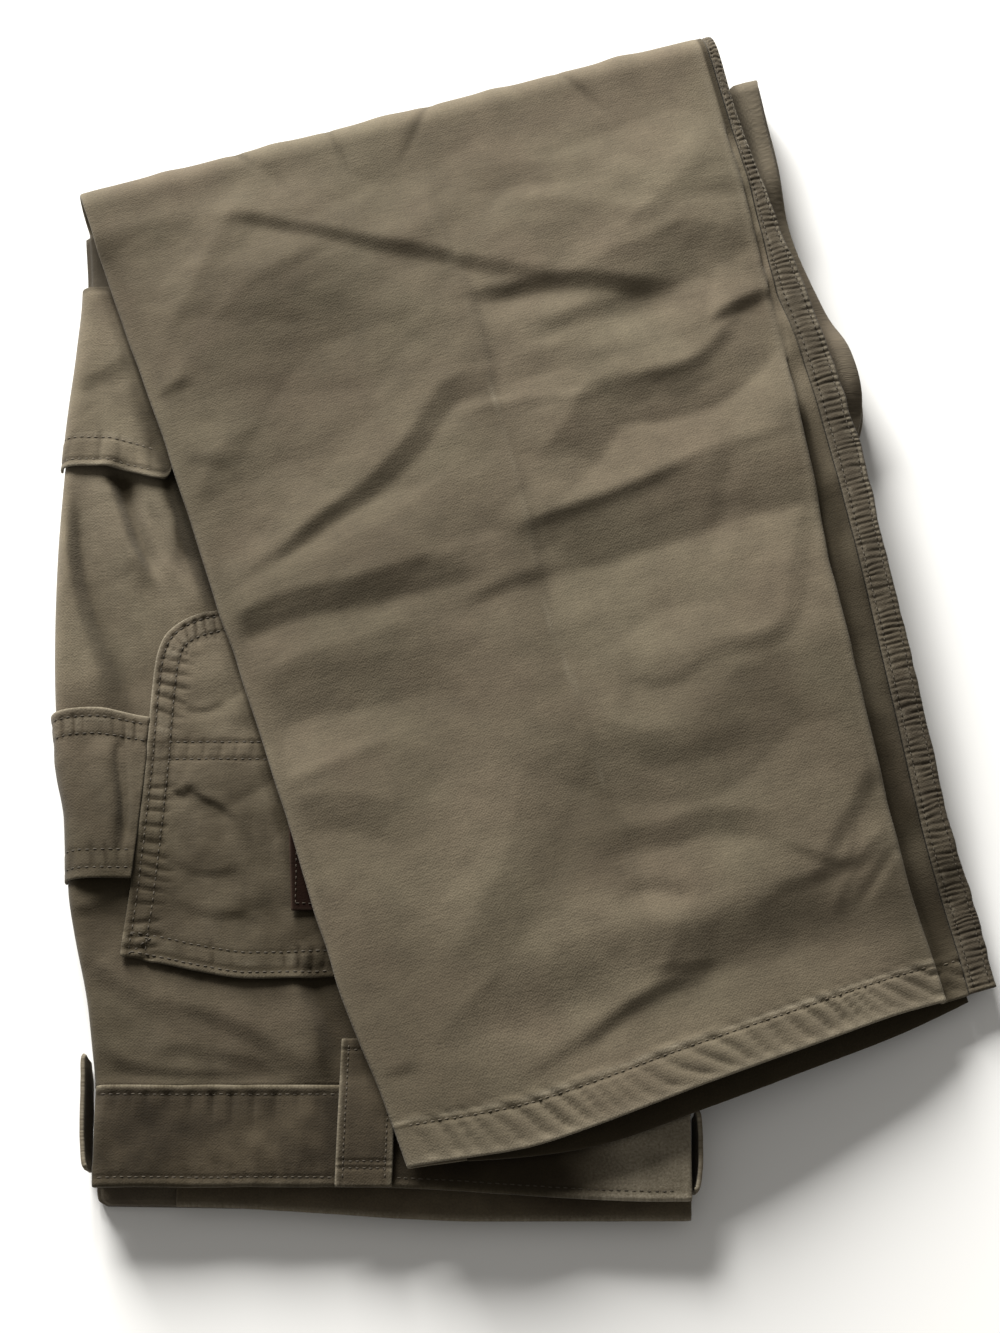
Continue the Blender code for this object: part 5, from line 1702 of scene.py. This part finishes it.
def make_waist(materials):
    """Waistband, the band of the layers below and the belt loops."""
    grid, x, y = band_grid()
    low, high = y - waist_edge(x), WAIST_SEAM_Y - y
    wear_and_highlight = 0.85 * rim_wear(high, 1.1) + 0.5 * rim_wear(low, 1.4) + 0.2 * rim_wear(x - BAND_ENDS[0], 2.0)
    # Lighter towards the band's right end: painted highlight
    wear_and_highlight = wear_and_highlight + 0.75 * smooth((x - 20.0) / 40.0)
    # Painted shade in the stitched valleys and puckers with random mottling, and less painted shade towards
    # the right end
    stitched = 0.3 * bell(high - BAND_ROWS[1], 1.0) + 0.3 * bell(low - BAND_ROWS[0], 0.9)
    mottling_and_pucker_shade = 0.16 * noise(x, y, 15.0, 77) + 0.12 * noise(x, y, 6.0, 78) + 0.3 * band_rungs(x, high)
    shade = body_shade_and_mottling(x, y) + stitched + mottling_and_pucker_shade + 0.03 - 0.85 * smooth((x - 15.0) / 40.0)
    shade = np.clip(shade, 0.0, 0.93)
    band = slab("waistband_cloth", grid, BAND_WALL, materials["band_canvas"], wear_and_highlight, shade)
    finish_piece(band, "band_canvas", "waistband")
    line = np.linspace(-170.0, 74.0, 500)
    runs = [trace(band_surface, line, WAIST_SEAM_Y - BAND_ROWS[1]),
            trace(band_surface, line, waist_edge(line) + BAND_ROWS[0])]
    stitches = sew("waistband_stitches", runs, materials["thread"])
    grid, x, y = front_band_grid()
    wear_and_highlight = 0.5 * rim_wear(y - front_edge(x), 1.2)
    lower = slab("front_waistband_cloth", grid, BAND_WALL, materials["band_canvas"], wear_and_highlight, 0.15)
    finish_piece(lower, "band_canvas", "front_waistband")
    make_back_loop(materials)
    make_edge_loop("side_belt_loop", BODY_LEFT, -1.0, (-222.5, -175.5), 1.7, materials)
    make_edge_loop("centre_belt_loop", BODY_RIGHT, 1.0, (-232.0, -200.0), 1.6, materials)


# The flat belt loop: its sides in x, its ends in y, y of its bar tacks
BELT_LOOP_SIDES = (-68.0, -45.0)
BELT_LOOP_ENDS = (-231.8, -169.0)
BAR_TACKS = (-224.5, -221.5, -173.5)
OVER_BAND = WAIST_TOP + 2.0 * GAP + BAND_WALL + LOOP_WALL
OVER_SEAT = SEAT_TOP + GAP + LOOP_WALL

# y along the flat belt loop, height of its face
BELT_LOOP_RUN = (
    (-231.8, OVER_BAND - 0.3),
    (-227.0, OVER_BAND + 0.1),
    (-208.0, OVER_BAND + 0.9),
    (-190.0, OVER_BAND + 0.2),
    (-184.0, OVER_SEAT + 0.5),
    (-169.0, OVER_SEAT + 0.1),
)


def belt_loop_side(x):
    """Distance from the nearer side of the flat belt loop."""
    return np.minimum(x - BELT_LOOP_SIDES[0], BELT_LOOP_SIDES[1] - x)


def belt_loop_surface(x, y):
    """Face of the flat belt loop, with its stitched sides and bar tacks."""
    form = 0.15 * noise(x, y, 8.0, 101) - 0.3 * bell(belt_loop_side(x) - 2.6, 0.8)
    form = form - 0.4 * sum(bell(y - tack, 0.7) for tack in BAR_TACKS)
    return points_of(x + (y + 200.0) * 0.03, y, look_up(BELT_LOOP_RUN, y) + form)


def make_back_loop(materials):
    """Belt loop that lies flat over the waistband."""
    x, y = np.meshgrid(np.linspace(*BELT_LOOP_SIDES, 34), np.linspace(*BELT_LOOP_ENDS, 84))
    wear_and_highlight = 0.8 * rim_wear(belt_loop_side(x), 0.8) + 0.3 * rim_wear(y - BELT_LOOP_ENDS[0], 0.8)
    # Painted shadow of the leg over the loop, with random mottling
    shade = 0.6 + 0.2 * smooth((y + 196.0) / 20.0) + 0.15 * noise(x, y, 7.0, 102)
    loop = slab("back_belt_loop_cloth", belt_loop_surface(x, y), LOOP_WALL, materials["band_canvas"],
                wear_and_highlight, shade)
    finish_piece(loop, "band_canvas", "back_belt_loop")
    line = np.linspace(-229.0, -171.0, 120)
    runs = [trace(belt_loop_surface, side, line) for side in (-65.4, -47.6)]
    bar = np.linspace(-66.5, -46.5, 60)
    runs += [trace(belt_loop_surface, bar, tack) for tack in BAR_TACKS]
    stitches = sew("belt_loop_stitches", runs, materials["thread"], 2.6)


def make_edge_loop(node, outline, side, run, bow, materials):
    """Belt loop seen edge-on, bowed out from a folded end of the waistband."""
    share = np.linspace(0.0, 1.0, 64)[:, None]
    low, high = 2.0, WAIST_TOP + 1.5
    z = np.linspace(low, high, 18)[None, :]
    y = run[0] + (run[1] - run[0]) * share
    out = 1.4 + (0.6 + bow * np.sin(math.pi * share) ** 0.4) * smooth((z - 3.0) / 11.0)
    x = look_up(outline, y) + side * (out + 0.15 * noise(y, z, 6.0, 111))
    tack = bell(share - 0.05, 0.05) + bell(share - 0.95, 0.05)
    wear_and_highlight = 0.7 * rim_wear(np.minimum(z - low, high - z), 1.0) + 0.6 * tack
    turn = int(side)
    loop = slab(node + "_cloth", points_of(x, y, z)[:, ::turn], LOOP_WALL, materials["band_canvas"],
                wear_and_highlight[:, ::turn])
    finish_piece(loop, "band_canvas", node)


# Round cloth edges: points over one of them, how many the leg stacks, and points over its top
LOBE_POINTS = 7
LEG_LAYERS = 6
LEG_TOP_POINTS = 40


def lobes(count):
    """Which of the stacked round cloth edges each place is on, its height and its inset."""
    rows = []
    for index in range(count):
        for turn in np.linspace(-1.0, 1.0, LOBE_POINTS):
            inset = 1.5 * (1.0 - math.sqrt(1.0 - (0.97 * turn) ** 2))
            rows.append((index, (index + 0.5 + 0.5 * turn) / count, inset))
    return np.array(rows)


def layered_edge(count, low, high, run, seed, depth):
    """Insets and heights of a stack of cloth edges along a run."""
    rows = lobes(count)
    height = low + (high - low) * rows[None, :, 1] + 0.0 * run
    inset = rows[None, :, 2] + 0.4
    for index in range(count):
        mine = (rows[:, 0] == index)[None, :]
        offset = depth * (0.5 + 0.5 * noise(run, 40.0 * index, 38.0, seed + index))
        inset = inset + mine * offset
    return inset, height


def make_layers(materials):
    """The hidden layers: the folded body and the folded second leg."""
    rings = body_rings()
    # Painted shade where the layers go under at the seat's end
    beyond = 0.75 * smooth((rings[..., 1] - SEAT_END + 6.0) / 8.0) * smooth((-120.0 - rings[..., 0]) / 20.0)
    body = loft("body_layers", rings, materials["layers_canvas"], beyond.ravel())
    finish_piece(body, "layers_canvas", "folded_layers")
    rings = leg_rings()
    along = (rings[..., 1] - HEM_Y) * math.cos(LEG_TILT) - (rings[..., 0] - HEM_X) * math.sin(LEG_TILT)
    # Painted shadow inside the leg near its hem
    hidden = 0.93 * fall((along - 12.0) / 50.0)
    leg = loft("leg_layers", rings, materials["layers_canvas"], hidden.ravel())
    finish_piece(leg, "layers_canvas", "folded_layers")


# y at the right end of each row of the left outline
BODY_RIGHT_ROWS = (-241.0, -239.0, -229.3, -229.0, -212.0, -196.0, -160.0, -120.0, -80.0, -45.0,
                   -10.0, 20.0, 50.0, 82.0, 110.0, 130.0, 155.0, 182.0, 217.0, 256.0, 298.0)


def body_rings():
    """Rings round the lower layers: left side, top, right side, bottom."""
    index = np.linspace(0.0, len(BODY_LEFT) - 1.0, 150)[:, None]
    steps = np.arange(len(BODY_LEFT), dtype=float)
    left_y = np.interp(index, steps, [row[0] for row in BODY_LEFT])
    top = np.interp(index, steps, [row[2] for row in BODY_LEFT])
    right_y = np.interp(index, steps, BODY_RIGHT_ROWS)
    left_x = look_up(BODY_LEFT, left_y)
    right_x = look_up(BODY_RIGHT, right_y)
    scale = top / BODY_TOP
    low_inset, low_height = layered_edge(3, 0.0, 8.8, left_y, 121, 1.2)
    curl = np.array([(2.4, 9.6), (2.6, 12.0), (3.6, 13.2), (5.4, 13.8), (8.4, 14.1)])
    left_inset = np.hstack([low_inset, curl[None, :, 0] + 0.0 * left_y])
    left_height = np.hstack([low_height, curl[None, :, 1] + 0.0 * left_y]) * scale
    right_inset, right_height = layered_edge(6, 0.0, 1.0, right_y, 131, 2.6)
    middle = np.concatenate([np.linspace(0.0, 0.84, 10), np.linspace(0.87, 1.0, 9)])[None, :]
    middle_x = (left_x + 16.0) * (1.0 - middle) + (right_x - 9.0) * middle
    middle_y = left_y + (right_y - left_y) * (middle_x - left_x) / (right_x - left_x)
    beside = smooth((middle_x - leg_edge_x(middle_y, 3) - 0.5) / 4.0) * smooth((middle_y - 40.0) / 30.0)
    rise = RIGHT_RISE * beside * (0.93 + 0.07 * noise(middle_x, middle_y, 15.0, 191))
    right_height = right_height * (top + rise[:, -1:])
    lower = fall((middle_x - leg_edge_x(left_y) - 16.0) / 12.0)
    lower = lower * smooth((left_y - WAIST_SEAM_Y - 2.0) / 10.0)
    middle_z = top - 2.2 * lower + rise
    bottom_x = (right_x - 40.0) * (1.0 - middle) + (left_x + 40.0) * middle
    x = np.hstack([left_x + left_inset, middle_x, (right_x - right_inset)[:, ::-1], bottom_x])
    z = np.hstack([left_height, middle_z, right_height[:, ::-1], 0.0 * bottom_x])
    share = (x - left_x) / (right_x - left_x)
    y = left_y + (right_y - left_y) * share
    return points_of(x, y, np.maximum(z, 0.0))


def leg_rings():
    """Rings round the layers inside the folded leg, from its hem to the knee fold."""
    recess = FOLD_AT - TUCK - 1.0
    stations = np.concatenate([np.linspace(0.0, recess - 0.3, 110), [recess, FOLD_AT - 6.0]])
    rings = [leg_ring(distance, recess) for distance in stations]
    reach = LEG_REST - GAP - FOLD_MIDDLE
    for angle in np.radians([0.0, 15.0, 30.0, 45.0, 58.0, 70.0, 80.0]):
        rise = reach * math.cos(angle)
        rings.append(knee_ring(FOLD_AT + reach * math.sin(angle), rise))
    return np.array(rings)


def ring_profile(left, right, floor, left_top, right_top, top_of, run):
    """Across places and heights round one ring of the leg's layers."""
    at = np.array([[run]])
    left_inset, left_share = layered_edge(LEG_LAYERS, 0.0, 1.0, at, 141, 2.0)
    right_inset, right_share = layered_edge(LEG_LAYERS, 0.0, 1.0, at, 151, 2.4)
    middle = np.linspace(left + 9.0, right - 9.0, LEG_TOP_POINTS)
    across = [left + left_inset[0], middle, (right - right_inset[0])[::-1], middle[::-1]]
    height = [floor + left_share[0] * (left_top - floor), top_of(middle),
              (floor + right_share[0] * (right_top - floor))[::-1], np.full(LEG_TOP_POINTS, floor)]
    return np.concatenate(across), np.concatenate(height)


def leg_ring(distance, recess):
    """One ring of the layers inside the leg."""
    share = fall(distance / 110.0)
    floor = SHELF_BULK + FOLD_ROOM if distance >= recess else 0.0
    left = leg_left(distance) + look_up(LEFT_REST, distance, 2)
    right = leg_outer(distance) - 5.0

    def along_at(across):
        return distance + look_up(HEM_REST, across, 2) * share

    def top_of(across):
        here = along_at(across)
        steps = (-9.0, 0.0, 9.0)
        nearby = [leg_underside(here + i, across + j) for i in steps for j in steps]
        return np.min(nearby, axis=0) - GAP - 0.3

    ends = top_of(np.array([left + 2.8, right - 2.8]))
    across, height = ring_profile(left, right, floor, ends[0], ends[1], top_of, distance)
    x, y = leg_to_body(along_at(across), across)
    return points_of(x, y, height)


def knee_ring(along, rise):
    """One ring of the rounded end inside the knee fold."""
    left = leg_left(FOLD_AT) + 3.5
    right = leg_outer(FOLD_AT) - 5.0
    low, high = FOLD_MIDDLE - rise, FOLD_MIDDLE + rise
    across, height = ring_profile(left, right, low, high, high, lambda at: 0.0 * at + high, along)
    x, y = leg_to_body(along, across)
    return points_of(x, y, height)


def make_materials():
    """All finishes of the trousers, by name."""
    materials = {name: cloth_material(name, *looks) for name, looks in CLOTHS.items()}
    for name, colour in THREADS.items():
        materials[name] = thread_material(name, colour)
    materials["label_leather"] = leather_material("label_leather")
    return materials


def make_floor():
    """Pale floor under the trousers."""
    bpy.ops.mesh.primitive_grid_add(x_subdivisions=4, y_subdivisions=4, size=FLOOR_SIZE,
                                    location=(0.0, 0.0, FLOOR_Z))
    floor = bpy.context.object
    floor.name = "studio_floor"
    floor.data.materials.append(floor_material())
    floor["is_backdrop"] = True


KEY_PLACE = (-1.50, 3.80, 1.50)
KEY_TARGET = (0.0, 0.0, 0.0)
KEY_SIZE = 1.9
KEY_POWER = 730.0
KEY_TINT = (1.0, 0.985, 0.955)
WORLD_TINT = (1.0, 0.97, 0.92, 1.0)
WORLD_POWER = 0.29
CAMERA_PLACE = (-0.00736, -0.51827, 1.33557)
CAMERA_TARGET = (-0.00736, -0.03944, 0.020)
CAMERA_LENS = 85.0
CAMERA_SENSOR = 36.0


def aim(name, data, place, target):
    """Put a light or a camera at a place, looking at a point."""
    thing = bpy.data.objects.new(name, data)
    thing.location = place
    thing.rotation_euler = (Vector(target) - Vector(place)).to_track_quat("-Z", "Y").to_euler()
    bpy.context.scene.collection.objects.link(thing)
    return thing


def make_lights():
    """One soft light from beyond the knee fold, and a pale world."""
    key = bpy.data.lights.new("key", "AREA")
    key.size = KEY_SIZE
    key.energy = KEY_POWER
    key.color = KEY_TINT
    aim("key", key, KEY_PLACE, KEY_TARGET)
    world = bpy.data.worlds.new("studio")
    world.use_nodes = True
    background = world.node_tree.nodes["Background"]
    background.inputs[0].default_value = WORLD_TINT
    background.inputs[1].default_value = WORLD_POWER
    bpy.context.scene.world = world


def make_camera():
    """Camera at the height and angle of the picture."""
    data = bpy.data.cameras.new("camera")
    data.lens = CAMERA_LENS
    data.sensor_width = CAMERA_SENSOR
    bpy.context.scene.camera = aim("camera", data, CAMERA_PLACE, CAMERA_TARGET)
    bpy.context.scene.view_settings.view_transform = "Standard"


def corners(box):
    """A box as plain lists of numbers."""
    return [[float(value) for value in corner] for corner in box]


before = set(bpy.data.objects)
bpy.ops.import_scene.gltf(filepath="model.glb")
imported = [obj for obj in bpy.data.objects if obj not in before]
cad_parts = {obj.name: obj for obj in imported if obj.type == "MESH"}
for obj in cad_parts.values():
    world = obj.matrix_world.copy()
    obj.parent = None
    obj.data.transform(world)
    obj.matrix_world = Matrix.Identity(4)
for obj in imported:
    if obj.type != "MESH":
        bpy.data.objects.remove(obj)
cad_box = corners(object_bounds())
finishes = make_materials()
make_floor()
make_layers(finishes)
make_seat(finishes)
make_waist(finishes)
make_leg(finishes)
make_lights()
make_camera()
{"cad": cad_box, "visual": corners(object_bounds())}
